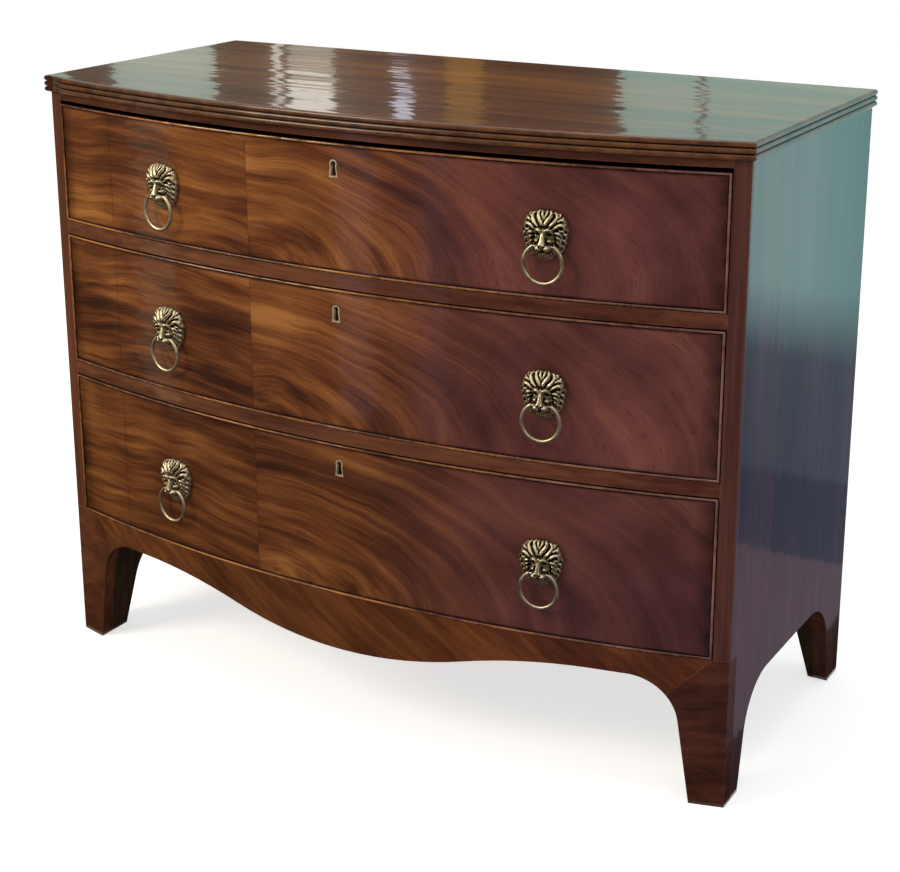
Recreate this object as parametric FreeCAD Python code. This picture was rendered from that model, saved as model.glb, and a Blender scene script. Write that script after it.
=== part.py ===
import FreeCAD, Part
import math
import os

# A bow-fronted mahogany chest of three long graduated drawers on bracket feet, with lion mask ring
# handles. Millimetres. X runs to the right, Y to the back and Z up, and the origin is on the floor
# in the middle of the footprint.

os.makedirs("parts", exist_ok=True)
Vector = FreeCAD.Vector

# ---- Case ----
case_width = 1018.0  # across the outside of the two sides
corner_depth = 426.0  # from the back to a front corner
bow_rise = 70.0  # how far the middle of the front stands beyond the corners
side_thickness = 20.0
stile_thickness = 5.0  # facing on the front edge of each side
rail_thickness = 18.5  # the dividers between the drawers, and the bottom board
rail_end_depth = 45.0  # front to back at the sides
housing_depth = 6.0  # how far the dividers and the bottom board enter the sides
top_rail_thickness = 10.0
back_rail_depth = 60.0
rail_tail_length = 12.0  # dovetail of a top rail into the side
rail_tail_width = 28.0
rail_tail_flare = 3.0
rail_tail_inset = 12.0
runner_width = 35.0
dustboard_thickness = 8.0
dustboard_tongue = 6.0  # how far a dustboard enters its grooves
kicker_width = 30.0
back_thickness = 9.0
back_rebate = 10.0  # width of the rebate in the back edge of each side
back_board_count = 4
back_board_gap = 0.5

# ---- Top ----
top_thickness = 22.0
top_side_overhang = 6.0
top_front_overhang = 8.0
reed_count = 3  # half-round reeds, one above another, round the front and the ends

# ---- Base ----
base_height = 196.0  # floor to the running surface of the lowest drawer
apron_thickness = 22.0
apron_low = 117.5  # underside of the apron in the middle
arch_height = 164.0  # underside of the apron beside the feet
arch_radius = 64.0
arch_flat = 37.34  # level wood between the curve of a foot and the serpentine
foot_width = 42.0  # front foot at the floor, seen from the front
foot_lean = 8.5  # degrees
side_arch_height = 136.0
side_arch_radius = 75.0
side_foot_lean = 11.0  # degrees
foot_depth = 44.0  # front foot at the floor, seen from the side
back_foot_depth = 40.0
back_foot_width = 28.0
back_foot_lean = 12.0  # degrees
block_reach_x = 65.0  # foot block behind the front foot, from the outside of the case
block_reach_y = 75.0
glue_block_length = 60.0
glue_block_size = 18.0
glue_block_places = (-300.0, -110.0, 110.0, 300.0)

# ---- Drawers, from the lowest up ----
drawer_names = ("bottom", "middle", "top")
drawer_heights = (206.0, 183.0, 162.0)
drawer_gaps_over = (1.5, 1.5, 5.0)  # above each drawer front
drawer_gap_under = 1.0
drawer_side_gap = 1.0
running_gap = 0.3  # under the drawer sides, and at the stops
front_thickness = 26.0
lining_thickness = 10.0  # drawer sides
drawer_back_thickness = 9.0
lining_drop = 2.0  # drawer sides below the top of the front
drawer_back_drop = 8.0  # drawer back below the top of the front
drawer_bottom_thickness = 7.0
drawer_bottom_rise = 8.0  # drawer bottom above the lower edge of the sides
drawer_bottom_groove = 4.0
front_groove = 6.0
space_behind_drawer = 12.0
bead_thickness = 3.0
bead_depth = 9.0  # let into the edge of the front
bead_proud = 2.0
nose_arcs = 4  # arcs that make up the nose of a level bead, so that its mesh stays round
bead_end = 0.3  # square end of a level strip, before its mitre
stop_length = 30.0
stop_depth = 12.0
stop_height = 5.0
stop_place = 200.0  # from the middle to the near end of a stop

# ---- Dovetails of the drawers ----
tail_counts = (5, 4, 4)
tail_slope = 1.0 / 7.0
pin_width = 13.0  # between two tails at their narrow end
tail_margin = 5.0  # from the edge of the front to the first tail
front_lap = 10.5  # wood left in front of the tails

# ---- Locks ----
keyhole_drop = 31.5  # top of the drawer front to the middle of the keyhole
lock_width = 64.0
lock_height = 48.0
lock_thickness = 11.0
lock_fit = 0.2
bolt_width = 26.0
bolt_height = 14.0
bolt_thickness = 5.0
bolt_travel = 9.0
bolt_fit = 0.3
mortise_fit = 1.0
keyhole_radius = 3.2
keyhole_slot = 3.6
keyhole_length = 9.0  # of the slot under the round hole in a lock
escutcheon_radius = 5.3
escutcheon_foot = 6.0  # half the width at its foot
escutcheon_waist = 4.3
escutcheon_height = 22.0
escutcheon_rim = 1.6
escutcheon_depth = 4.0
escutcheon_proud = 0.3

# ---- Handles ----
handle_place = 280.0  # from the middle of the chest
handle_drop = 5.0  # middle of a mask below the middle of its drawer front
mask_width = 57.0
mask_height = 65.0
outer_locks = 15  # locks of the mane, in two tiers
inner_locks = 11
lock_tip = 1.5  # relief of the mane at its edge
mane_relief = 9.0
mane_groove = 3.0  # between two locks
tier_share = 0.8  # size of the inner tier against the outer one
valley_share = 0.7  # how far out the mane reaches between two locks
crest_share = 0.6  # breadth of a ridge along its crest
face_width = 34.0
face_relief = 11.0
nose_relief = 21.0
nose_width = 9.0
nose_drop = 8.5  # tip of the nose below the middle of the mask
bridge_relief = 12.0
bridge_width = 5.0
brow_height = 8.0  # above the middle of the mask
brow_slant = 4.0
brow_reach = 14.0
brow_width = 6.0
brow_relief = 13.0
muzzle_radius = 6.0
muzzle_relief = 19.0
muzzle_spread = 4.4
muzzle_drop = 12.0
chin_radius = 5.0
chin_relief = 13.0
chin_drop = 19.0
beard_width = 9.0
beard_relief = 7.0
pivot_drop = 11.0  # ring axis below the middle of the mask
pivot_relief = 12.0  # ring axis in front of the drawer
cheek_radius = 3.8
cheek_reach = 9.7
ring_radius = 24.0  # to the middle of the wire
wire_radius = 2.4
pin_radius = 1.5
pin_fit = 0.05
pin_place = 12.4  # from the middle of the ring to its two turned ends
pin_end = 6.5
post_radius = 2.5
post_fit = 0.1
post_end = 1.5  # beyond its nut
nut_size = 11.0
nut_thickness = 3.5
nut_fit = 0.05

# ---- Fixings ----
screw_places = (-380.0, -130.0, 130.0, 380.0)
screw_radius = 2.2
screw_head_radius = 4.4
screw_head_depth = 3.0
screw_length = 26.0
screw_slot = 0.9
nail_size = 2.0
nail_head = 5.0
nail_head_depth = 1.2
nail_length = 24.0
nail_inset = 45.0  # from the edge of a back board

past = 1.0  # how far every cutter reaches beyond the wood

# ---- Places that follow from the sizes ----
half_width = case_width / 2
inner_x = half_width - side_thickness
overall_depth = corner_depth + bow_rise + top_front_overhang
back_y = overall_depth / 2
back_inner_y = back_y - back_thickness
corner_y = back_y - corner_depth
bow_radius = (half_width**2 + bow_rise**2) / (2 * bow_rise)
bow_centre_y = corner_y - bow_rise + bow_radius
rail_back_y = corner_y + rail_end_depth
drawer_half = inner_x - drawer_side_gap
lining_x = drawer_half - lining_thickness
drawer_back_y = back_inner_y - space_behind_drawer

post_length = front_thickness + nut_thickness + post_end

openings = []  # lower and upper limit of each drawer's opening, from the lowest up
level = base_height
for height, gap_over in zip(drawer_heights, drawer_gaps_over):
    opening_top = level + drawer_gap_under + height + gap_over
    openings.append((level, opening_top))
    level = opening_top + rail_thickness
case_top = openings[-1][1] + top_rail_thickness
bottom_under = base_height - rail_thickness


def bow_y(x, forward=0.0):
    # the bow at x, on a face that stands forward of the front of the case
    return bow_centre_y - math.sqrt((bow_radius + forward) ** 2 - x**2)


def bow_edge(x0, x1, forward):
    xm = (x0 + x1) / 2
    points = [Vector(x, bow_y(x, forward), 0) for x in (x0, xm, x1)]
    return Part.Arc(*points).toShape()


def line(p, q):
    return Part.LineSegment(p, q).toShape()


def arc(p, q, r):
    return Part.Arc(p, q, r).toShape()


def bow_slab(x0, x1, forward, y1, z0, z1):
    # bowed front and straight back
    edges = [
        bow_edge(x0, x1, forward),
        line(Vector(x1, bow_y(x1, forward), 0), Vector(x1, y1, 0)),
        line(Vector(x1, y1, 0), Vector(x0, y1, 0)),
        line(Vector(x0, y1, 0), Vector(x0, bow_y(x0, forward), 0)),
    ]
    return raised(edges, z0, z1)


def bow_shell(x0, x1, forward, thickness, z0, z1):
    # bowed front and bowed back
    inner = forward - thickness
    edges = [
        bow_edge(x0, x1, forward),
        line(Vector(x1, bow_y(x1, forward), 0), Vector(x1, bow_y(x1, inner), 0)),
        bow_edge(x0, x1, inner),
        line(Vector(x0, bow_y(x0, inner), 0), Vector(x0, bow_y(x0, forward), 0)),
    ]
    return raised(edges, z0, z1)


def face_of(edges):
    return Part.Face(Part.Wire(Part.__sortEdges__(edges)))


def raised(edges, z0, z1):
    face = face_of(edges)
    face.translate(Vector(0, 0, z0))
    return face.extrude(Vector(0, 0, z1 - z0))


def swept_round_bow(face):
    # a section in the plane x = 0, carried round the curve of the front, past both ends of the chest
    axis = Vector(0, bow_centre_y, 0)
    spread = 2 * math.degrees(math.atan2(case_width / 2 + side_thickness, bow_centre_y - back_y))
    face.rotate(axis, Vector(0, 0, 1), -spread / 2)
    return face.revolve(axis, Vector(0, 0, 1), spread)


def box(x0, x1, y0, y1, z0, z1):
    return Part.makeBox(x1 - x0, y1 - y0, z1 - z0, Vector(x0, y0, z0))


def prism_along_y(points, y0, y1):
    # a polygon of (x, z) points, carried from y0 to y1
    corners = [Vector(x, y0, z) for x, z in points]
    return Part.Face(Part.makePolygon(corners + corners[:1])).extrude(Vector(0, y1 - y0, 0))


def prism_along_x(points, x0, x1):
    # a polygon of (y, z) points, carried from x0 to x1
    corners = [Vector(x0, y, z) for y, z in points]
    return Part.Face(Part.makePolygon(corners + corners[:1])).extrude(Vector(x1 - x0, 0, 0))


def prism_along_z(points, z0, z1):
    corners = [Vector(x, y, z0) for x, y in points]
    return Part.Face(Part.makePolygon(corners + corners[:1])).extrude(Vector(0, 0, z1 - z0))


def mirrored(shape):
    return shape.mirror(Vector(0, 0, 0), Vector(1, 0, 0))


def both_sides(shape):
    return [shape, mirrored(shape)]


def fused(shapes):
    return shapes[0].multiFuse(shapes[1:]).removeSplitter()


def export(name, shape):
    solids = shape if isinstance(shape, list) else [shape]
    kept = [solid for piece in solids for solid in piece.Solids]
    whole = kept[0] if len(kept) == 1 else Part.makeCompound(kept)
    whole.exportStep("parts/" + name + ".step")


# ---- Feet and arches ----
def foot_curve(width, lean, radius, height):
    # the inner edge of a foot, as (distance from its outer edge, height): its corner on the floor,
    # then the start, middle and end of the curve into the arch
    angle = math.radians(lean)
    start_height = height - radius + radius * math.sin(angle)
    start_reach = width + start_height * math.tan(angle)
    centre_reach = start_reach + radius * math.cos(angle)
    turn = math.radians(135) - angle / 2
    middle = (centre_reach + radius * math.cos(turn), height - radius + radius * math.sin(turn))
    return (width, 0.0), (start_reach, start_height), middle, (centre_reach, height)


def front_void():
    # everything under the apron and between the front feet, seen from the front
    curve = foot_curve(foot_width, foot_lean, arch_radius, arch_height)
    serpentine_reach = half_width - curve[-1][0] - arch_flat
    mid_reach = serpentine_reach / 2
    mid_height = (arch_height + apron_low) / 2
    rise = arch_height - mid_height
    radius = (mid_reach**2 + rise**2) / (2 * rise)
    turn = math.asin(mid_reach / radius) / 2
    crest_x = serpentine_reach - radius * math.sin(turn)
    crest_z = arch_height - radius + radius * math.cos(turn)
    y0 = bow_y(0.0) - bow_rise
    edges = []
    for sign in (1, -1):
        floor, start, middle, end = [
            Vector(sign * (half_width - u), y0, v) for u, v in curve
        ]
        below = Vector(floor.x, y0, -arch_height)
        level_end = Vector(sign * serpentine_reach, y0, arch_height)
        crest = Vector(sign * crest_x, y0, crest_z)
        turning = Vector(sign * mid_reach, y0, mid_height)
        edges += [line(below, floor), line(floor, start), arc(start, middle, end)]
        edges += [line(end, level_end), arc(level_end, crest, turning)]
    left = Vector(-mid_reach, y0, mid_height)
    right = Vector(mid_reach, y0, mid_height)
    edges.append(arc(left, Vector(0, y0, apron_low), right))
    foot_x = half_width - foot_width
    edges.append(line(Vector(-foot_x, y0, -arch_height), Vector(foot_x, y0, -arch_height)))
    return face_of(edges).extrude(Vector(0, overall_depth, 0))


def side_void():
    # everything between a front and a back foot, seen from the side
    front = foot_curve(foot_depth, side_foot_lean, side_arch_radius, side_arch_height)
    back = foot_curve(back_foot_depth, side_foot_lean, side_arch_radius, side_arch_height)
    x0 = -case_width
    edges = []
    ends = []
    for corner, sign, curve in ((corner_y, 1, front), (back_y, -1, back)):
        floor, start, middle, end = [Vector(x0, corner + sign * u, v) for u, v in curve]
        below = Vector(x0, floor.y, -side_arch_height)
        edges += [line(below, floor), line(floor, start), arc(start, middle, end)]
        ends += [end, below]
    edges += [line(ends[0], ends[2]), line(ends[1], ends[3])]
    return face_of(edges).extrude(Vector(2 * case_width, 0, 0))


def foot_region():
    # what belongs to the right foot: outside the mitre that runs down from the stile's inner corner
    return prism_along_y(
        [
            (inner_x, base_height),
            (half_width + past, base_height),
            (half_width + past, -past),
            (inner_x - base_height - past, -past),
        ],
        bow_y(0.0) - bow_rise,
        back_y,
    )


def base_front():
    return bow_shell(-half_width, half_width, 0, apron_thickness, 0, base_height).cut(front_void())


def front_foot_block():
    blank = bow_slab(
        half_width - block_reach_x, inner_x, -apron_thickness, corner_y + block_reach_y, 0, bottom_under
    )
    return blank.cut(front_void()).cut(side_void())


def back_foot_block():
    floor_x = half_width - back_foot_width
    upper_x = floor_x - bottom_under * math.tan(math.radians(back_foot_lean))
    blank = prism_along_y(
        [(inner_x, 0), (floor_x, 0), (upper_x, bottom_under), (inner_x, bottom_under)],
        back_inner_y - block_reach_y,
        back_y,
    )
    return blank.cut(side_void())


def glue_blocks():
    blocks = []
    for place in glue_block_places:
        x0 = place - glue_block_length / 2
        x1 = place + glue_block_length / 2
        y1 = bow_y(max(abs(x0), abs(x1)), -apron_thickness) + glue_block_size
        z0 = bottom_under - glue_block_size
        blocks.append(bow_slab(x0, x1, -apron_thickness, y1, z0, bottom_under))
    return blocks


# ---- Case ----
def divider(z0):
    between = bow_slab(-inner_x, inner_x, 0, rail_back_y, z0, z0 + rail_thickness)
    reach = inner_x + housing_depth
    housed = bow_slab(-reach, reach, -stile_thickness, rail_back_y, z0, z0 + rail_thickness)
    return fused([between, housed])


def bottom_board():
    reach = inner_x + housing_depth
    return bow_slab(-reach, reach, -apron_thickness, back_inner_y, bottom_under, base_height)


def dustboard(z0):
    low = z0 + (rail_thickness - dustboard_thickness) / 2
    reach = inner_x - runner_width + dustboard_tongue
    return box(-reach, reach, rail_back_y - dustboard_tongue, back_inner_y, low, low + dustboard_thickness)


def rail_tail(root_y, z0):
    # the dovetail at the right end of a top rail, let down into the top of the side
    tip_x = inner_x + rail_tail_length
    root = ((inner_x, root_y), (inner_x, root_y + rail_tail_width))
    tip_y0 = root_y - rail_tail_flare
    tip_y1 = root_y + rail_tail_width + rail_tail_flare
    return prism_along_z([root[0], (tip_x, tip_y0), (tip_x, tip_y1), root[1]], z0, case_top)


def top_rails():
    z0 = case_top - top_rail_thickness
    front = bow_slab(-inner_x, inner_x, 0, rail_back_y, z0, case_top)
    back = box(-inner_x, inner_x, back_inner_y - back_rail_depth, back_inner_y, z0, case_top)
    front_tail = rail_tail(corner_y + rail_tail_inset, z0)
    back_tail = rail_tail(back_inner_y - back_rail_depth + rail_tail_inset, z0)
    return fused([front] + both_sides(front_tail)), fused([back] + both_sides(back_tail))


def side_board(joined):
    # the right side, housed for every piece in joined
    board = bow_slab(inner_x, half_width, -stile_thickness, back_y, 0, case_top)
    base = bow_shell(inner_x - past, half_width + past, past, apron_thickness + past, -past, base_height)
    rebate = box(
        inner_x - past, inner_x + back_rebate, back_inner_y, back_y + past, bottom_under, case_top + past
    )
    board = board.cut(side_void()).cut(base).cut(rebate)
    for piece in joined:
        board = board.cut(piece)
    return board


def reeded_edge(at, reach):
    # half-round reeds whose crests are at reach; at turns (reach, height) into a point
    radius = top_thickness / reed_count / 2
    arcs = []
    for index in range(reed_count):
        z0 = case_top + 2 * radius * index
        ends = [at(reach - radius, z0 + 2 * radius * end) for end in (0, 1)]
        arcs.append(arc(ends[0], at(reach, z0 + radius), ends[1]))
    return arcs


def top_board():
    # a straight section and a bowed one share their wood, so their reeds mitre at the front corners
    half = half_width + top_side_overhang
    root = half - top_thickness / reed_count / 2
    front_y = bow_y(0.0, top_front_overhang)
    front_root_y = front_y + top_thickness / reed_count / 2
    rear_y = back_y + past
    across = reeded_edge(lambda u, z: Vector(u, front_y, z), half)
    across += reeded_edge(lambda u, z: Vector(-u, front_y, z), half)
    along = reeded_edge(lambda u, z: Vector(0, bow_y(0.0) - u, z), top_front_overhang)
    for z in (case_top, case_top + top_thickness):
        across.append(line(Vector(-root, front_y, z), Vector(root, front_y, z)))
        along.append(line(Vector(0, front_root_y, z), Vector(0, rear_y, z)))
    along.append(line(Vector(0, rear_y, case_top), Vector(0, rear_y, case_top + top_thickness)))
    straight = face_of(across).extrude(Vector(0, back_y - front_y, 0))
    return straight.common(swept_round_bow(face_of(along)))


def back_boards():
    boards = []
    span = 2 * (inner_x + back_rebate)
    width = (span - back_board_gap * (back_board_count - 1)) / back_board_count
    for index in range(back_board_count):
        x0 = -span / 2 + index * (width + back_board_gap)
        boards.append(box(x0, x0 + width, back_inner_y, back_y, bottom_under, case_top))
    return boards


def nails(boards):
    # one cut nail, rectangular, near each corner of each back board
    made = []
    levels = (bottom_under + rail_thickness / 2, case_top - top_rail_thickness / 2)
    for board in boards:
        limits = board.BoundBox
        for x in (limits.XMin + nail_inset, limits.XMax - nail_inset):
            for z in levels:
                half = nail_size / 2
                shank = box(x - half, x + half, back_y - nail_length, back_y, z - half, z + half)
                head_half = nail_head / 2
                head_y = back_y - nail_head_depth
                head = box(x - head_half, x + head_half, head_y, back_y, z - head_half, z + head_half)
                made.append(fused([shank, head]))
    return made


def screw(x, y):
    # a slotted countersunk screw, driven upwards through a top rail into the top
    z0 = case_top - top_rail_thickness
    head = Part.makeCone(screw_head_radius, screw_radius, screw_head_depth, Vector(x, y, z0))
    shank = Part.makeCylinder(screw_radius, screw_length, Vector(x, y, z0))
    half = screw_slot / 2
    reach = screw_head_radius + past
    slot = box(x - reach, x + reach, y - half, y + half, z0 - past, z0 + screw_slot)
    return fused([head, shank]).cut(slot), fused([head, shank])


# ---- Drawers ----
def tails(z_low, z_high, count, y_root, y_tip):
    # the dovetails of a right-hand drawer side: narrow at y_root, wide at y_tip
    pitch = (z_high - z_low) / count
    flare = abs(y_tip - y_root) * tail_slope
    made = []
    for index in range(count):
        middle = z_low + (index + 0.5) * pitch
        root = pitch / 2 - pin_width / 2
        tip = root + flare
        corners = [
            (y_root, middle - root),
            (y_tip, middle - tip),
            (y_tip, middle + tip),
            (y_root, middle + root),
        ]
        made.append(prism_along_x(corners, lining_x, drawer_half))
    return made


def level_bead(z0):
    # the strip along the lower or upper edge of a drawer front
    half = bead_thickness / 2
    centre = Vector(0, bow_y(0.0, bead_proud) + half, z0 + half)
    nose = []
    for step in range(2 * nose_arcs + 1):
        turn = math.pi * step / nose_arcs / 2
        nose.append(centre - Vector(0, math.sin(turn), math.cos(turn)) * half)
    low = Vector(0, bow_y(0.0, -bead_depth), z0)
    high = low + Vector(0, 0, bead_thickness)
    section = [line(low, nose[0]), line(nose[-1], high), line(high, low)]
    for step in range(0, 2 * nose_arcs, 2):
        section.append(arc(*nose[step : step + 3]))
    return swept_round_bow(face_of(section))


def upright_bead(z0, z1):
    # the strip down the right end of a drawer front
    x1 = drawer_half
    x0 = x1 - bead_thickness
    half = bead_thickness / 2
    noses = [Vector(x, bow_y(x, bead_proud - half), 0) for x in (x0, x1)]
    crest = Vector(x1 - half, bow_y(x1 - half, bead_proud), 0)
    deep = [Vector(x, bow_y(x, -bead_depth), 0) for x in (x0, x1)]
    edges = [
        arc(noses[0], crest, noses[1]),
        line(noses[1], deep[1]),
        bow_edge(x0, x1, -bead_depth),
        line(deep[0], noses[0]),
    ]
    return raised(edges, z0, z1)


def beads(z0, z1):
    # four strips round a drawer front, mitred at the corners
    t = bead_thickness
    y0 = bow_y(0.0, bead_proud) - past
    outer_x = drawer_half + bead_end + t
    mitre_x = outer_x - 3 * t
    upright = upright_bead(z0, z1)
    strips = []
    for level_z, corner_z, inward in ((z0, z0, 1), (z1 - t, z1, -1)):
        outer_end = (outer_x, corner_z - inward * t)
        inner_end = (mitre_x, corner_z + 2 * inward * t)
        beyond = prism_along_y([outer_end, inner_end, (case_width, corner_z)], y0, back_y)
        within = prism_along_y([outer_end, inner_end, (inner_end[0], outer_end[1])], y0, back_y)
        length = box(-drawer_half, drawer_half, y0, back_y, level_z - t, level_z + 2 * t)
        strips.append(level_bead(level_z).cut(beyond).cut(mirrored(beyond)).common(length))
        upright = upright.cut(within)
    return strips + both_sides(upright)


def keyhole_plate(radius, waist, foot, height, middle_z, y0, y1):
    # the outline of a keyhole: a round head that runs into a flared foot
    top_z = middle_z + height / 2
    head = Part.makeCylinder(radius, y1 - y0, Vector(0, y0, top_z - radius), Vector(0, 1, 0))
    skirt_z = top_z - radius
    low_z = middle_z - height / 2
    skirt = prism_along_y([(-waist, skirt_z), (waist, skirt_z), (foot, low_z), (-foot, low_z)], y0, y1)
    return fused([head, skirt])


def escutcheon(middle_z):
    y0 = bow_y(0.0) - escutcheon_proud
    y1 = bow_y(0.0) + escutcheon_depth
    rim = escutcheon_rim
    outer = keyhole_plate(
        escutcheon_radius, escutcheon_waist, escutcheon_foot, escutcheon_height, middle_z, y0, y1
    )
    inner = keyhole_plate(
        escutcheon_radius - rim,
        escutcheon_waist - rim,
        escutcheon_foot - rim,
        escutcheon_height - 2 * rim,
        middle_z,
        y0 - past,
        bow_y(0.0) + front_thickness,
    )
    return outer.cut(inner), outer, inner


def lock_case(z1, lock_y0):
    # a box let into the inside of the front, with a slot in its upper edge for the bolt
    y1 = lock_y0 + lock_thickness
    case = box(-lock_width / 2, lock_width / 2, lock_y0, y1, z1 - lock_height, z1)
    middle_y = (lock_y0 + y1) / 2
    reach = bolt_width / 2 + bolt_fit
    half = bolt_thickness / 2 + bolt_fit
    slot = box(-reach, reach, middle_y - half, middle_y + half, z1 - bolt_height - bolt_fit, z1 + past)
    deep_y = middle_y - half
    depth = deep_y - lock_y0
    keyhole_z = z1 - keyhole_drop
    start = Vector(0, lock_y0, keyhole_z)
    hole = Part.makeCylinder(keyhole_radius, depth, start, Vector(0, 1, 0))
    half_slot = keyhole_slot / 2
    bit = box(-half_slot, half_slot, lock_y0, deep_y, keyhole_z - keyhole_length, keyhole_z)
    return case.cut(slot).cut(hole.fuse(bit)), middle_y


def lock_bolt(z1, middle_y):
    half = bolt_thickness / 2
    return box(-bolt_width / 2, bolt_width / 2, middle_y - half, middle_y + half, z1 - bolt_height, z1)


def mortise(z0, middle_y, gap_over):
    # the slot over a lock, for the bolt when it is thrown
    reach = bolt_width / 2 + mortise_fit
    half = bolt_thickness / 2 + mortise_fit
    depth = bolt_travel - gap_over + mortise_fit
    return box(-reach, reach, middle_y - half, middle_y + half, z0, z0 + depth)


# ---- Handles: modelled at the origin, the drawer's face in the XZ plane, and then placed ----
def solid_of(triangles):
    faces = [Part.Face(Part.makePolygon([p, q, r, p])) for p, q, r in triangles]
    solid = Part.makeSolid(Part.makeShell(faces))
    if solid.Volume < 0:
        solid.reverse()
    return solid


def mane_tier(count, share, root, rise, turn):
    # a ring of pointed locks, ridged down the middle, round a flat crown of radius root
    outline = []
    for index in range(2 * count):
        a = math.radians(turn + 180 * index / count)
        edge = share / math.hypot(math.cos(a) / (mask_width / 2), math.sin(a) / (mask_height / 2))
        valley = index % 2
        reach = root + (edge - root) * (valley_share if valley else 1.0)
        crown_relief = rise - mane_groove * valley
        direction = Vector(math.cos(a), 0, math.sin(a))
        foot = direction * reach
        tip = foot + Vector(0, -lock_tip * (1 + rise / mane_relief) / 2, 0)
        outline.append((foot, tip, direction * root + Vector(0, -crown_relief, 0)))
    low = Vector(0, 0, 0)
    high = Vector(0, -rise, 0)
    triangles = []
    for index in range(2 * count):
        foot, tip, crown = outline[index]
        next_foot, next_tip, next_crown = outline[(index + 1) % (2 * count)]
        triangles += [(low, foot, next_foot), (foot, tip, next_tip), (foot, next_tip, next_foot)]
        triangles += [(tip, crown, next_crown), (tip, next_crown, next_tip), (crown, high, next_crown)]
    return solid_of(triangles)


def ridge(start, end, width, end_width, relief, end_relief):
    # a tapering raised form between two (x, z) points of the face, narrower along its crest
    p = Vector(start[0], 0, start[1])
    q = Vector(end[0], 0, end[1])
    along = (q - p).normalize()
    aside = Vector(-along.z, 0, along.x)
    corners = []
    for share in (1.0, crest_share):
        for point, breadth, high in ((p, width, relief), (q, end_width, end_relief)):
            raised_point = point + Vector(0, -high if share < 1 else 0, 0)
            corners += [raised_point + aside * breadth * share / 2 * side for side in (-1, 1)]
    sides = ((0, 1, 3, 2), (4, 6, 7, 5), (0, 4, 5, 1), (2, 3, 7, 6), (0, 2, 6, 4), (1, 5, 7, 3))
    triangles = []
    for a, b, c, d in sides:
        triangles += [(corners[a], corners[b], corners[c]), (corners[a], corners[c], corners[d])]
    return solid_of(triangles)


def mask():
    # a lion's face in a mane of two tiers, with cheeks bored for the ring and a post at the back
    sphere_radius = ((face_width / 2) ** 2 + face_relief**2) / (2 * face_relief)
    face = Part.makeSphere(sphere_radius, Vector(0, sphere_radius - face_relief, 0))
    ahead = box(-mask_width, mask_width, -mask_height, 0, -mask_height, mask_height)
    chin_z = -chin_drop
    pieces = [
        mane_tier(outer_locks, 1.0, face_width / 2, mane_relief, 90 + 180 / outer_locks),
        mane_tier(inner_locks, tier_share, face_width / 2 - mane_groove, face_relief, 90),
        face.common(ahead),
        ridge((0, brow_height), (0, -nose_drop), bridge_width, nose_width, bridge_relief, nose_relief),
        ridge((0, chin_z), (0, -mask_height / 2), beard_width, lock_tip, beard_relief, lock_tip),
        Part.makeSphere(chin_radius, Vector(0, chin_radius - chin_relief, chin_z)),
        Part.makeCylinder(post_radius, post_length, Vector(0, 0, 0), Vector(0, 1, 0)),
    ]
    for sign in (1, -1):
        inner = (sign * nose_width / 2, brow_height)
        outer = (sign * brow_reach, brow_height - brow_slant)
        pieces.append(ridge(inner, outer, brow_width, brow_width / 2, brow_relief, face_relief))
        muzzle = Vector(sign * muzzle_spread, muzzle_radius - muzzle_relief, -muzzle_drop)
        pieces.append(Part.makeSphere(muzzle_radius, muzzle))
    across = Vector(1, 0, 0)
    pivot = Vector(0, -pivot_relief, -pivot_drop)
    cheek_start = pivot - across * cheek_reach
    pieces.append(Part.makeCylinder(cheek_radius, 2 * cheek_reach, cheek_start, across))
    whole = fused(pieces)
    hole_depth = pin_place - pin_end + running_gap
    for start in (pin_place - hole_depth, -pin_place):
        bore_start = pivot + across * start
        whole = whole.cut(Part.makeCylinder(pin_radius + pin_fit, hole_depth, bore_start, across))
    return whole


def ring():
    # an open ring with a pin at each end; the pins share an axis and enter the corners of the mouth
    drop = math.sqrt(ring_radius**2 - pin_place**2)
    centre = Vector(0, -pivot_relief, -pivot_drop - drop)
    start = Vector(pin_place, -pivot_relief, -pivot_drop)
    along = Vector(-drop, 0, pin_place)
    wire = Part.Face(Part.Wire(Part.Circle(start, along, wire_radius).toShape()))
    sweep = 180 + 2 * math.degrees(math.atan2(drop, pin_place))
    pieces = [wire.revolve(centre, Vector(0, 1, 0), sweep)]
    for sign in (1, -1):
        end = Vector(sign * pin_place, -pivot_relief, -pivot_drop)
        inwards = Vector(-sign, 0, 0)
        pieces.append(Part.makeCylinder(pin_radius, pin_place - pin_end, end, inwards))
    return fused(pieces)


def nut():
    half = nut_size / 2
    y0 = front_thickness + nut_fit
    blank = box(-half, half, y0, y0 + nut_thickness, -half, half)
    bore = Part.makeCylinder(post_radius + nut_fit, nut_thickness, Vector(0, y0, 0), Vector(0, 1, 0))
    return blank.cut(bore)


def post_hole():
    start = Vector(0, -post_radius, 0)
    length = front_thickness + 2 * post_radius
    return Part.makeCylinder(post_radius + post_fit, length, start, Vector(0, 1, 0))


def placed(shape, side, z):
    # a handle piece on the bowed front, square to its surface
    x = side * handle_place
    moved = shape.copy()
    moved.rotate(Vector(0, 0, 0), Vector(0, 0, 1), math.degrees(math.asin(x / bow_radius)))
    moved.translate(Vector(x, bow_y(x), z))
    return moved


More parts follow.
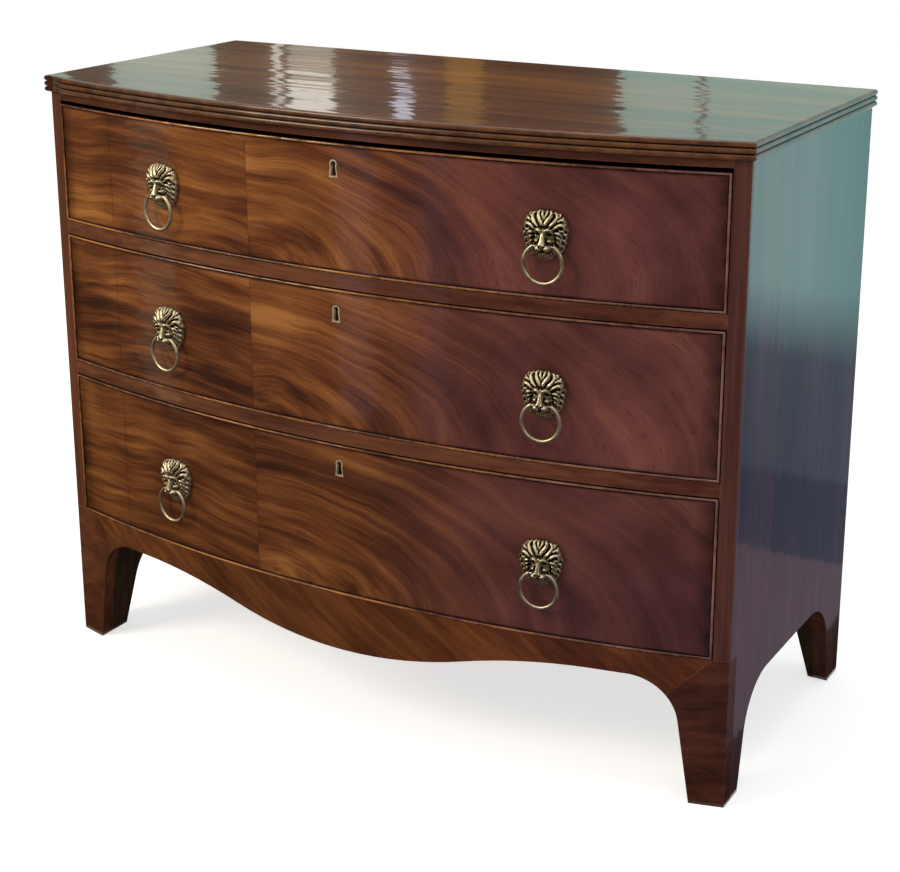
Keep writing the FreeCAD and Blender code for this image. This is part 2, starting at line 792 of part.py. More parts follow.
def drawer(index, handle_shapes):
    # all the pieces of one drawer, by name
    opening_low, opening_high = openings[index]
    z0 = opening_low + drawer_gap_under
    z1 = z0 + drawer_heights[index]
    lining_z0 = opening_low + running_gap
    lining_z1 = z1 - lining_drop
    shoulder_y = bow_y(lining_x, -front_thickness)
    tip_y = bow_y(drawer_half) + front_lap
    count = tail_counts[index]
    back_front_y = drawer_back_y - drawer_back_thickness
    mask_z = (z0 + z1) / 2 - handle_drop

    bottom_z0 = lining_z0 + drawer_bottom_rise
    bottom_z1 = bottom_z0 + drawer_bottom_thickness
    bottom_half = lining_x + drawer_bottom_groove
    bottom = bow_slab(
        -bottom_half, bottom_half, front_groove - front_thickness, drawer_back_y, bottom_z0, bottom_z1
    )

    front_tails = tails(z0 + tail_margin, z1 - tail_margin, count, shoulder_y, tip_y)
    back_z1 = z1 - drawer_back_drop
    back_tails = tails(bottom_z1, back_z1, count, back_front_y, drawer_back_y)
    back = box(-drawer_half, drawer_half, back_front_y, drawer_back_y, bottom_z1, back_z1)
    for tail in back_tails:
        back = back.cut(tail).cut(mirrored(tail))

    lining = box(lining_x, drawer_half, shoulder_y, drawer_back_y, lining_z0, lining_z1)
    lining = fused([lining] + front_tails).cut(back).cut(bottom)

    front = bow_shell(-drawer_half, drawer_half, 0, front_thickness, z0, z1)
    flat = box(
        lining_x, drawer_half + past, shoulder_y, shoulder_y + front_thickness, z0 - past, z1 + past
    )
    front = front.cut(flat).cut(mirrored(flat)).cut(bottom)
    for tail in front_tails:
        front = front.cut(tail).cut(mirrored(tail))
    t = bead_thickness
    rim = bow_shell(-drawer_half - past, drawer_half + past, past, bead_depth + past, z0 - past, z1 + past)
    field = bow_shell(-drawer_half + t, drawer_half - t, 2 * past, bead_depth + 3 * past, z0 + t, z1 - t)
    front = front.cut(rim.cut(field))

    keyhole_z = z1 - keyhole_drop
    rim_piece, rim_outer, keyhole = escutcheon(keyhole_z)
    lock_y0 = bow_y(0.0) + front_thickness - lock_thickness
    case, bolt_y = lock_case(z1, lock_y0)
    pocket = box(
        -lock_width / 2 - lock_fit,
        lock_width / 2 + lock_fit,
        lock_y0 - lock_fit,
        lock_y0 + 2 * lock_thickness,
        z1 - lock_height - lock_fit,
        z1 + past,
    )
    front = front.cut(rim_outer).cut(keyhole).cut(pocket)
    masks = []
    nuts = []
    for side in (-1, 1):
        masks.append(placed(handle_shapes["mask"], side, mask_z))
        nuts.append(placed(handle_shapes["nut"], side, mask_z))
        front = front.cut(placed(handle_shapes["hole"], side, mask_z))

    name = drawer_names[index]
    return {
        "drawer_front_" + name: front,
        "cockbeads_" + name: beads(z0, z1),
        "drawer_side_left_" + name: mirrored(lining),
        "drawer_side_right_" + name: lining,
        "drawer_back_" + name: back,
        "drawer_bottom_" + name: bottom,
        "lock_" + name: case,
        "lock_bolt_" + name: lock_bolt(z1, bolt_y),
        "escutcheon_" + name: rim_piece,
        "lion_masks_" + name: masks,
        "handle_nuts_" + name: nuts,
        "ring_left_" + name: placed(handle_shapes["ring"], -1, mask_z),
        "ring_right_" + name: placed(handle_shapes["ring"], 1, mask_z),
    }, mortise(opening_high, bolt_y, drawer_gaps_over[index])


def drawer_stops(z0):
    # two blocks glued down behind the lower edge of a drawer front
    y0 = bow_y(stop_place + stop_length, -front_thickness) + running_gap
    stop = box(stop_place, stop_place + stop_length, y0, y0 + stop_depth, z0, z0 + stop_height)
    return both_sides(stop)


# ---- The whole chest ----
handle_shapes = {"mask": mask(), "ring": ring(), "nut": nut(), "hole": post_hole()}
pieces = {}
mortises = []
for index in range(len(drawer_names)):
    made, slot = drawer(index, handle_shapes)
    pieces.update(made)
    mortises.append(slot)

divider_levels = [high for low, high in openings[:-1]]
dividers = [divider(z0).cut(dustboard(z0)) for z0 in divider_levels]
top_rail_front, top_rail_back = top_rails()
board = bottom_board()
joined = dividers + [top_rail_front, top_rail_back, board]
side_right = side_board(joined)
top = top_board()

screws = []
rail_middles = (corner_y + rail_end_depth / 2, back_inner_y - back_rail_depth / 2)
for y in rail_middles:
    for x in screw_places:
        driven, hole = screw(x, y)
        screws.append(driven)
        top = top.cut(hole)
        top_rail_front = top_rail_front.cut(hole)
        top_rail_back = top_rail_back.cut(hole)

boards = back_boards()
back_nails = nails(boards)
for nail in back_nails:
    boards = [plank.cut(nail) for plank in boards]
    board = board.cut(nail)
    top_rail_back = top_rail_back.cut(nail)

runners = []
for z0 in divider_levels:
    strip = box(inner_x - runner_width, inner_x, rail_back_y, back_inner_y, z0, z0 + rail_thickness)
    runners += both_sides(strip.cut(dustboard(z0)))
kicker = box(
    inner_x - kicker_width,
    inner_x,
    rail_back_y,
    back_inner_y - back_rail_depth,
    case_top - top_rail_thickness,
    case_top,
)

front_base = base_front()
right_region = foot_region()
foot_front = front_base.common(right_region)
apron = front_base.cut(right_region).cut(mirrored(right_region))
stile = bow_shell(inner_x, half_width, 0, stile_thickness, base_height, case_top)

pieces["top"] = top
pieces["side_right"] = side_right
pieces["side_left"] = mirrored(side_right)
pieces["stile_right"] = stile
pieces["stile_left"] = mirrored(stile)
pieces["top_rail_front"] = top_rail_front.cut(mortises[2])
pieces["top_rail_back"] = top_rail_back
pieces["divider_lower"] = dividers[0].cut(mortises[0])
pieces["divider_upper"] = dividers[1].cut(mortises[1])
pieces["bottom_board"] = board
pieces["dustboards"] = [dustboard(z0) for z0 in divider_levels]
pieces["drawer_runners"] = runners
pieces["kickers"] = both_sides(kicker)
pieces["drawer_stops"] = [stop for low, high in openings for stop in drawer_stops(low)]
pieces["apron"] = apron
pieces["foot_front_right"] = foot_front
pieces["foot_front_left"] = mirrored(foot_front)
pieces["base_blocks"] = both_sides(front_foot_block()) + both_sides(back_foot_block()) + glue_blocks()
pieces["back_boards"] = boards
pieces["back_nails"] = back_nails
pieces["top_screws"] = screws

for name, shape in pieces.items():
    export(name, shape)
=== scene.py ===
import bpy
import math
import numpy as np
from functools import partial
from mathutils import Matrix, Vector


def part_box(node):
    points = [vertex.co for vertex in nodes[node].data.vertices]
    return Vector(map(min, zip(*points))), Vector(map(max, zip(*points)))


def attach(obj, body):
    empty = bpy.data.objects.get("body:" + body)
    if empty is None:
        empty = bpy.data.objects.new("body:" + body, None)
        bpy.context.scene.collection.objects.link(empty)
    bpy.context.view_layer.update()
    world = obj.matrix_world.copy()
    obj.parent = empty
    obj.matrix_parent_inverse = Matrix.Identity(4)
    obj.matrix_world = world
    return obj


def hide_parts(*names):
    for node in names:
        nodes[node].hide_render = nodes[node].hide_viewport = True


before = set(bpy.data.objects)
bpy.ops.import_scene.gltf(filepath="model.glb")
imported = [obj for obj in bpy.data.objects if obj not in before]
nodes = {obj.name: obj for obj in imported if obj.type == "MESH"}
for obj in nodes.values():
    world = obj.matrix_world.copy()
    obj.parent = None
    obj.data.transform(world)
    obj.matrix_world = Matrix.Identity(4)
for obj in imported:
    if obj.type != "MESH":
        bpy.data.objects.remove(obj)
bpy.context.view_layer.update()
drawerNames = ("bottom", "middle", "top")
quarter = math.pi / 2
print("frame loaded,", len(nodes), "nodes")


def hexColor(code):
    # an sRGB hex colour as the linear one that a shader needs
    parts = [int(code[i:i + 2], 16) / 255 for i in (1, 3, 5)]
    return tuple(p / 12.92 if p <= 0.04045 else ((p + 0.055) / 1.055) ** 2.4 for p in parts) + (1.0,)


def inUse(sockets, wanted=0):
    # a socket by name or number, out of those that the node's settings leave in use
    sockets = [socket for socket in sockets if socket.enabled]
    return sockets[wanted] if isinstance(wanted, int) else next(s for s in sockets if s.name == wanted)


def addNode(tree, kind, settings=None):
    # a kind may name its operation too; a setting is a property or a socket; a hex colour becomes linear,
    # a node stands for its first output in use and is linked, and "stops" fills a colour ramp
    kind, *operation = kind.split()
    node = tree.nodes.new("ShaderNode" + kind)
    if operation:
        setattr(node, "data_type" if kind == "Mix" else "operation", operation[0])
    for name, value in (settings or {}).items():
        if isinstance(value, bpy.types.Node):
            value = inUse(value.outputs)
        if name == "stops":
            stops = list(value)
            ramp = node.color_ramp.elements
            while len(ramp) < len(stops):
                ramp.new(0.5)
            for element, (place, color) in zip(ramp, stops):
                element.position = place
                element.color = hexColor(color)
        elif isinstance(value, bpy.types.NodeSocket):
            tree.links.new(value, inUse(node.inputs, name))
        elif isinstance(name, str) and hasattr(node, name):
            setattr(node, name, value)
        else:
            inUse(node.inputs, name).default_value = hexColor(value) if isinstance(value, str) else value
    return node


def span(source, start, end, high=1.0, low=0.0):
    # settings that turn what lies between start and end in the source into low to high
    return {0: source, "From Min": start, "From Max": end, "To Min": low, "To Max": high}


def newObject(name, data):
    piece = bpy.data.objects.new(name, data)
    bpy.context.collection.objects.link(piece)
    return piece


def flatMesh(name, corners, material):
    mesh = bpy.data.meshes.new(name)
    mesh.from_pydata(corners, [], [(0, 1, 2, 3)])
    mesh.materials.append(material)
    return mesh


def emptied(owner):
    # clears the nodes of a material or a world and gives the function that adds new ones
    owner.use_nodes = True
    owner.node_tree.nodes.clear()
    return partial(addNode, owner.node_tree)


def newMaterial(name):
    material = bpy.data.materials.new(name)
    return material, emptied(material)


def dress(nodeName, material):
    # a CAD piece keeps its shape and gets this finish
    mesh = nodes[nodeName].data
    mesh.materials.clear()
    mesh.materials.append(material)


# the bow of the front: every front face is an arc about one upright axis
bowRise = 0.070
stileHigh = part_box("stile_right")[1]
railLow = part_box("divider_lower")[0]
bowRadius = (stileHigh[0] ** 2 + bowRise ** 2) / (2 * bowRise)
bowCentreY = railLow[1] + bowRadius


def bowY(x):
    return bowCentreY - math.sqrt(bowRadius ** 2 - x * x)


def bowDistance(add, place):
    # how far a place lies from that axis
    centred = add("VectorMath SUBTRACT", {0: place, 1: (0, bowCentreY, 0)})
    level = add("VectorMath MULTIPLY", {0: centred, 1: (1, 1, 0)})
    return add("VectorMath LENGTH", {0: level})


# camera: three-quarter view from the right, a little above the top
camera = {
    "place": (1.2062, -2.0393, 1.1840),
    "turn": 30.123,  # degrees round from the front
    "tilt": 16.487,  # degrees down
    "roll": 0.103,
    "lens": 72.33,  # millimetres, like the film behind it
    "film": 36,
    "lift": -0.11,  # lens shift that keeps the uprights nearly parallel
    "nearest": 0.05,  # metres
}


def makeCamera(c):
    data = bpy.data.cameras.new("camera")
    data.lens = c["lens"]
    data.sensor_width = c["film"]
    data.shift_y = c["lift"]
    data.clip_start = c["nearest"]
    body = newObject("camera", data)
    body.location = c["place"]
    body.rotation_euler = (math.radians(90 - c["tilt"]), math.radians(c["roll"]), math.radians(c["turn"]))
    bpy.context.scene.camera = body


makeCamera(camera)
print("camera placed")

# studio: seamless white paper, a pale room, soft lamps, and cards that only reflections show
studio = {
    "floorSize": 14.0,
    "white": "#ffffff",
    "paper": "#f2f2f0",
    "paperGlow": 0.62,
    "room": "#e9eef0",
    "roomLevel": 0.5,
    "lampAim": (0, 0, 0.45),
    # name, place, size, watts, colour
    "lamps": (
        ("keyLamp", (-2.3, -2.9, 2.7), 1.5, 80, "#fff0dd"),
        ("fillLamp", (2.4, -2.6, 1.4), 1.6, 11, "#dfe6f6"),
        ("overLamp", (0.2, 0.2, 3.3), 1.8, 24, "#ffffff"),
    ),
    # name, opposite corners, colour, strength
    "cards": (
        ("roomBehind", (-3.6, 2.62, 0.8), (0.6, 2.62, 2.4), "#45352a", 0.7),
        ("windowFarLeft", (-3.3, 2.6, 0.8), (-2.98, 2.6, 2.4), "#bfd6c8", 1.0),
        ("windowLeft", (-2.78, 2.6, 0.8), (-2.36, 2.6, 2.4), "#bfd6c8", 1.15),
        ("windowBright", (-2.07, 2.6, 1.29), (-1.9, 2.6, 2.4), "#f4f2e6", 1.9),
        ("windowDim", (-2.07, 2.6, 0.8), (-1.9, 2.6, 1.28), "#c9c8b4", 0.75),
        ("windowSlit", (-2.13, 2.6, 0.8), (-2.1, 2.6, 2.4), "#f4f2e6", 1.3),
        ("windowPane", (-1.68, 2.6, 1.27), (-1.62, 2.6, 2.4), "#e6ecff", 1.5),
        ("curtain", (-1.5, 2.6, 0.8), (-1.38, 2.6, 2.4), "#b98f48", 0.6),
        ("windowRight", (-0.93, 2.6, 0.8), (-0.69, 2.6, 2.4), "#a3c9bf", 1.2),
        ("windowFarRight", (-0.675, 2.6, 0.8), (0.5, 2.6, 2.4), "#9dc7bd", 1.2),
        ("wallBesideNear", (0.52, 0.95, 0.004), (0.745, 0.95, 1.7), "#86c2c2", 1.35),
        ("wallBesideMiddle", (0.745, 0.95, 0.004), (0.805, 0.95, 1.7), "#94cac8", 1.5),
        ("wallBesideFar", (0.805, 0.95, 0.004), (1.9, 0.95, 1.7), "#a6d0d0", 1.7),
        ("floorBeside", (0.56, -0.35, 0.004), (1.9, 0.6, 0.004), "#857b8c", 1.0),
        ("floorBackRight", (0.56, 0.6, 0.004), (1.9, 0.95, 0.004), "#4a6684", 0.8),
        # floorUnder is a dark sheet standing for the shade under the chest, seen only in reflections
        ("floorUnder", (-0.56, -0.3, 0.004), (0.56, 0.6, 0.004), "#3a3030", 0.6),
        ("roomBefore", (-3.6, -0.87, 0.004), (2.4, -0.87, 0.95), "#4a3c3e", 0.9),
        ("doorBefore", (-1.5, -0.86, 0.004), (-1.2, -0.86, 0.95), "#d2c6b4", 1.1),
        ("postBefore", (-0.4, -0.86, 0.2), (-0.29, -0.86, 0.95), "#9d94b4", 1.5),
        ("farPostBefore", (-0.16, -0.86, 0.2), (-0.08, -0.86, 0.95), "#9d94b4", 0.9),
        ("floorBefore", (-3.6, -0.87, 0.004), (0.12, 0.1, 0.004), "#3a2c28", 0.9),
        ("floorBeforeRight", (0.12, -0.87, 0.004), (0.56, 0.1, 0.004), "#40406c", 0.85),
        ("floorBeforeFarRight", (0.56, -0.87, 0.004), (2.4, -0.35, 0.004), "#463c42", 0.85),
        ("roomAcross", (-7.0, -3.4, 0.004), (7.0, -3.4, 3.6), "#83786f", 0.9),
        ("windowAcrossLeft", (-4.7, -3.38, 0.9), (-4.0, -3.38, 2.6), "#e4ebea", 1.2),
        ("windowAcrossRight", (3.0, -3.38, 1.2), (3.5, -3.38, 3.0), "#e4ebea", 1.2),
        ("wallRight", (5.2, -3.4, 0.004), (5.2, 4.0, 3.6), "#83786f", 0.9),
        ("wallLeft", (-5.2, -3.4, 0.004), (-5.2, 4.0, 3.6), "#83786f", 0.9),
        ("floorRight", (1.9, -3.4, 0.004), (5.2, 3.0, 0.004), "#6f656a", 0.9),
        ("floorLeft", (-5.2, -3.4, 0.004), (-3.6, 3.0, 0.004), "#6f656a", 0.9),
    ),
    # the wall beside is in shade low down: colour, strength, and the heights where it is full and gone
    "shadeColor": "#6f8aa4",
    "shadeLevel": 0.75,
    "shadeHeights": (0.23, 0.36),
}


def addCard(name, low, high, color, strength, s):
    # an upright or level card that throws no light and no shadow and shows only in reflections
    lit, add = newMaterial(name)
    glow = add("Emission", {"Color": color, "Strength": strength})
    if name.startswith("wallBeside"):
        dim = add("Emission", {"Color": s["shadeColor"], "Strength": s["shadeLevel"]})
        place = add("TexCoord").outputs["Object"]
        height = add("SeparateXYZ", {0: place})
        rise = add("MapRange", span(height.outputs["Z"], *s["shadeHeights"]))
        glow = add("MixShader", {0: rise, 1: dim, 2: glow})
    add("OutputMaterial", {0: glow})
    lit.cycles.emission_sampling = "NONE"
    (x0, y0, z0), (x1, y1, z1) = low, high
    corners = [(x0, y0, z0), (x1, y1, z0), (x1, y1, z1), (x0, y0, z1)]
    if z0 == z1:
        corners = [(x0, y0, z0), (x1, y0, z0), (x1, y1, z0), (x0, y1, z0)]
    card = newObject(name, flatMesh(name, corners, lit))
    card.visible_camera = card.visible_diffuse = card.visible_shadow = card.visible_transmission = False


def seenRays(add):
    # 1 for the rays that should find white: straight from the camera, mirrored, or through glass
    path = add("LightPath")
    seen = path.outputs["Is Camera Ray"]
    for kind in ("Is Glossy Ray", "Is Transmission Ray"):
        seen = add("Math MAXIMUM", {0: seen, 1: path.outputs[kind]})
    return seen


def makeStudio(s):
    world = bpy.data.worlds.new("softRoom")
    bpy.context.scene.world = world
    add = emptied(world)
    soft = add("Background", {"Color": s["room"], "Strength": s["roomLevel"]})
    white = add("Background", {"Color": s["white"], "Strength": 1.0})
    mixed = add("MixShader", {0: seenRays(add), 1: soft, 2: white})
    add("OutputWorld", {0: mixed})

    # the paper is white to the eye but still takes the chest's shadow
    paper, add = newMaterial("seamlessPaper")
    matte = add("BsdfDiffuse", {"Color": s["paper"]})
    glow = add("Emission", {"Color": s["white"], "Strength": s["paperGlow"]})
    both = add("AddShader", {0: matte, 1: glow})
    mixed = add("MixShader", {0: seenRays(add), 1: matte, 2: both})
    add("OutputMaterial", {0: mixed})
    half = s["floorSize"] / 2
    corners = [(-half, -half, 0), (half, -half, 0), (half, half, 0), (-half, half, 0)]
    floor = newObject("floor", flatMesh("floor", corners, paper))
    for card in s["cards"]:
        addCard(*card, s)
    for name, place, size, watts, color in s["lamps"]:
        data = bpy.data.lights.new(name, "AREA")
        data.size = size
        data.energy = watts
        data.color = hexColor(color)[:3]
        lamp = newObject(name, data)
        lamp.location = place
        lamp.rotation_euler = (Vector(s["lampAim"]) - Vector(place)).to_track_quat("-Z", "Y").to_euler()
        lamp.visible_camera = False


makeStudio(studio)
print("studio lit")

# polished mahogany, with lengths in millimetres where nothing else is said
mahogany = {
    "tones": ("#2e160d", "#52291a", "#73402a"),
    "toneStops": (0.34, 0.5, 0.66),
    "worn": "#b0713a",
    # the colour of the painted shade in inside corners and creases
    "paintedShade": "#140a06",
    "streak": 7.0,  # across a streak, and along it
    "streakLength": 260.0,
    "broadWidth": 7.0,  # how many streaks make a broad band, and how much longer it is
    "broadLength": 1.8,
    "broadShare": 0.5,
    "pore": 1.4,  # real pores are 0.2 mm wide; drawn as coarse as shows
    "poreLength": 24.0,
    "poreSpan": (0.6, 0.72, 0.35),  # where in its noise a pore starts and is full, and how dark it gets
    "ior": 1.5,  # of the wood, and of the shellac over it
    "roughness": 0.38,
    "gloss": 0.12,
    "coat": 0.5,
    "coatRoughness": 0.06,
    "edgeRadius": 0.8,
    "wearRadius": 1.5,
    "wearSpan": (0.985, 0.85),  # how well a rounded edge's normal agrees where wear starts and is full
    "wear": 0.55,
    "bump": 0.12,
    "bumpDepth": 0.4,
    "crevice": 4.0,  # how far the painted shade reaches from an inside corner
    "creviceSpan": (0.45, 0.85),  # how open a place is where it is all painted shade, and where it has none
    "creviceGrime": 0.8,
    "goldenTint": "#fffaec",  # daylight from the left has faded that end to gold; with the red tint it also paints light, warm from the left and cool on the right
    "redTint": "#f5e8fa",
    "tintEnds": (-0.4, 0.4),  # where along the chest in metres one tint gives way to the other
    "rubPatch": 20.8,  # across a rubbed patch
    "rubSpan": (0.38, 0.62),  # where in its noise a patch starts and is full
    "swell": 91.0,  # across a swelling of the surface
    "lean": (0.09, 0.0, 0.0),  # how far the ripples in the polish tip it, each way
    "ripple": (220.0, 6.0),  # along a ripple, and across it
    "turn": (0, 0, 0),
    "shift": (0, 0, 0),
}


def grainNoise(add, wood, along, across, **settings):
    # noise drawn out along the grain into streaks, by the millimetre
    place = add("TexCoord").outputs["Object"]
    turned = add("Mapping", {0: place, "Rotation": wood["turn"], "Location": wood["shift"]})
    scale = (1000 / along, 1000 / across, 1000 / across)
    drawn = add("Mapping", {0: turned, "Scale": scale})
    return add("TexNoise", {0: drawn, "Scale": 1.0, **settings})


def finishPolish(add, color, height, wood):
    # shellac rubbed to a gloss: the coat gives the sharp reflection, the wood under it a soft one
    place = add("TexCoord").outputs["Object"]
    apart = add("SeparateXYZ", {0: place})
    # partly real fading and partly painted light along the chest: warm gold towards the left end, cool red
    # towards the right
    fade = add("MapRange", span(apart.outputs["X"], *wood["tintEnds"]))
    tint = add("Mix RGBA", {0: fade, 1: wood["goldenTint"], 2: wood["redTint"]})
    color = add("Mix RGBA", {"blend_type": "MULTIPLY", 0: 1.0, 1: color, 2: tint})
    # an edge is where the normal of a rounded copy leaves the true one
    rounded = add("Bevel", {"samples": 4, "Radius": wood["wearRadius"] / 1000})
    flat = add("NewGeometry").outputs["Normal"]
    same = add("VectorMath DOT_PRODUCT", {0: rounded, 1: flat})
    edge = add("MapRange", span(same, *wood["wearSpan"]))
    hollow = add("AmbientOcclusion", {"samples": 6, "Distance": wood["crevice"] / 1000})
    openness = add("MapRange", span(hollow.outputs["AO"], *wood["creviceSpan"]))
    patchy = add("TexNoise", {0: place, "Scale": 1000 / wood["rubPatch"], "Detail": 5.0, "Roughness": 0.7})
    rub = add("MapRange", span(patchy, *wood["rubSpan"]))
    if "reeds" in wood:
        # the crests of the reeds are rubbed too, round the front and along both ends, behind a dark band
        frontRadius, endX, depth = wood["reeds"]
        bandOut, bandIn, bandDark = wood["band"]
        away = bowDistance(add, place)
        front = add("MapRange", span(away, frontRadius - depth, frontRadius))
        end = add("Math ABSOLUTE", {0: apart.outputs["X"]})
        end = add("MapRange", span(end, endX - depth, endX))
        crest = add("Math MAXIMUM", {0: front, 1: end})
        band = span(away, frontRadius - bandOut, frontRadius - bandIn, bandDark)
        band = add("MapRange", band)
        color = add("Mix RGBA", {0: band, 1: color, 2: wood["tones"][0]})
        edge = add("Math MAXIMUM", {0: edge, 1: crest})
    rub = add("Math MULTIPLY", {0: edge, 1: rub})
    rub = add("Math MULTIPLY", {0: rub, 1: openness})
    rub = add("Math MULTIPLY", {0: rub, 1: wood["wear"]})
    color = add("Mix RGBA", {0: rub, 1: color, 2: wood["worn"]})
    # painted shade: inside corners, creases and the valleys of the reeds are darkened where little light
    # reaches
    paintedShade = add("MapRange", span(openness, 1.0, 0.0, wood["creviceGrime"]))
    color = add("Mix RGBA", {0: paintedShade, 1: color, 2: wood["paintedShade"]})
    soft = add("Bevel", {"samples": 4, "Radius": wood["edgeRadius"] / 1000})
    bump = add("Bump", {
        "Strength": wood["bump"], "Distance": wood["bumpDepth"] / 1000, "Height": height, "Normal": soft,
    })
    # the grain has sunk under the polish in long ripples, so straight reflections break up along it
    ripple = grainNoise(add, wood, *wood["ripple"], Detail=2.0).outputs["Color"]
    lean = add("VectorMath SUBTRACT", {0: ripple, 1: (0.5, 0.5, 0.5)})
    lean = add("VectorMath MULTIPLY", {0: lean, 1: wood["lean"]})
    rippled = add("VectorMath ADD", {0: bump, 1: lean})
    rippled = add("VectorMath NORMALIZE", {0: rippled})
    shader = add("BsdfPrincipled", {
        "Base Color": color, "Normal": bump, "Coat Normal": rippled,
        "Roughness": wood["roughness"], "IOR": wood["ior"], "Specular IOR Level": wood["gloss"],
        "Coat Weight": wood["coat"], "Coat Roughness": wood["coatRoughness"], "Coat IOR": wood["ior"],
    })
    add("OutputMaterial", {0: shader})


def mahoganyFrenchPolished(place, **changes):
    # straight-grained mahogany, French polished: long soft streaks and short dark pores under a deep gloss
    wood = dict(mahogany, **changes)
    material, add = newMaterial("mahoganyFrenchPolished" + place)
    width, length = wood["streak"], wood["streakLength"]
    streaks = grainNoise(add, wood, length, width, Detail=4.0, Roughness=0.55, Distortion=0.3)
    broad = grainNoise(
        add, wood, length * wood["broadLength"], width * wood["broadWidth"], Detail=2.0, Distortion=0.5)
    pores = grainNoise(add, wood, wood["poreLength"], wood["pore"], Detail=2.0)
    tone = add("Mix FLOAT", {0: wood["broadShare"], 1: streaks, 2: broad})
    color = add("ValToRGB", {0: tone, "stops": zip(wood["toneStops"], wood["tones"])})
    pore = add("MapRange", span(pores, *wood["poreSpan"]))
    color = add("Mix RGBA", {0: pore, 1: color, 2: wood["tones"][0]})
    place = add("TexCoord").outputs["Object"]
    swell = add("TexNoise", {0: place, "Scale": 1000 / wood["swell"], "Detail": 2.0})
    height = add("Math SUBTRACT", {0: swell, 1: pore})
    finishPolish(add, color, height, wood)
    return material


upright = (0, quarter, 0)
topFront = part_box("top")[0][1]
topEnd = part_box("top")[1][0]
sideWood = mahoganyFrenchPolished(
    "Sides", turn=upright, streakLength=420.0, streak=9.0, tones=("#331a14", "#48271e", "#5f372a"),
    coat=1.0, coatRoughness=0.07, goldenTint="#ffffff", redTint="#ffffff", lean=(0.0, 0.02, 0.07))
stileWood = mahoganyFrenchPolished(
    "Stiles", turn=upright, shift=(0.3, 0.1, 0), tones=("#40231c", "#5c372c", "#704636"),
    goldenTint="#fff2c8")
# painted shade: the rail under the top has darker tones than the rails below, as if shaded by the overhang
topRailWood = mahoganyFrenchPolished(
    "TopRail", shift=(0.5, 0.3, 0.1), tones=("#3a2013", "#55311e", "#6c4129"), coat=0.3)
railWood = mahoganyFrenchPolished(
    "Rails", shift=(0.7, 0.2, 0.4), tones=("#452818", "#653c26", "#805331"), redTint="#e2c9e4")
# the reeds' place and depth in metres; the dark band's two edges in front of them and how dark it is
topWood = mahoganyFrenchPolished(
    "Top", reeds=(bowCentreY - topFront, topEnd, 0.0022), band=(0.008, 0.004, 0.55),
    shift=(1.7, 0.2, 0.1), streak=14.0, streakLength=420.0, tones=("#3a1f0f", "#673f22", "#925f2c"),
    coat=0.75, coatRoughness=0.06, wear=0.34, worn="#9a6430", crevice=6.5, creviceGrime=1.0, bump=0.3,
    lean=(0.13, 0.0, 0.0), ripple=(260.0, 12.0))
apronWood = mahoganyFrenchPolished(
    "Apron", turn=(0, math.radians(-32), 0), shift=(2.7, 1.2, 0.4), streak=9.0, streakLength=120.0,
    tones=("#40220f", "#5f361a", "#7d4d25"), coat=0.3, redTint="#ead0d2")
footWood = mahoganyFrenchPolished(
    "Feet", turn=(0, math.radians(8), 0), shift=(3.7, 0.2, 0.4), streak=9.0, streakLength=110.0,
    tones=("#3a1d12", "#502c1b", "#673b25"), coat=0.25)
polished = {
    "side_right": sideWood, "side_left": sideWood, "stile_right": stileWood, "stile_left": stileWood,
    "divider_lower": railWood, "divider_upper": railWood, "top_rail_front": topRailWood, "top": topWood,
    "apron": apronWood, "foot_front_right": footWood, "foot_front_left": footWood,
}
for nodeName, finish in polished.items():
    dress(nodeName, finish)
print("case polished")

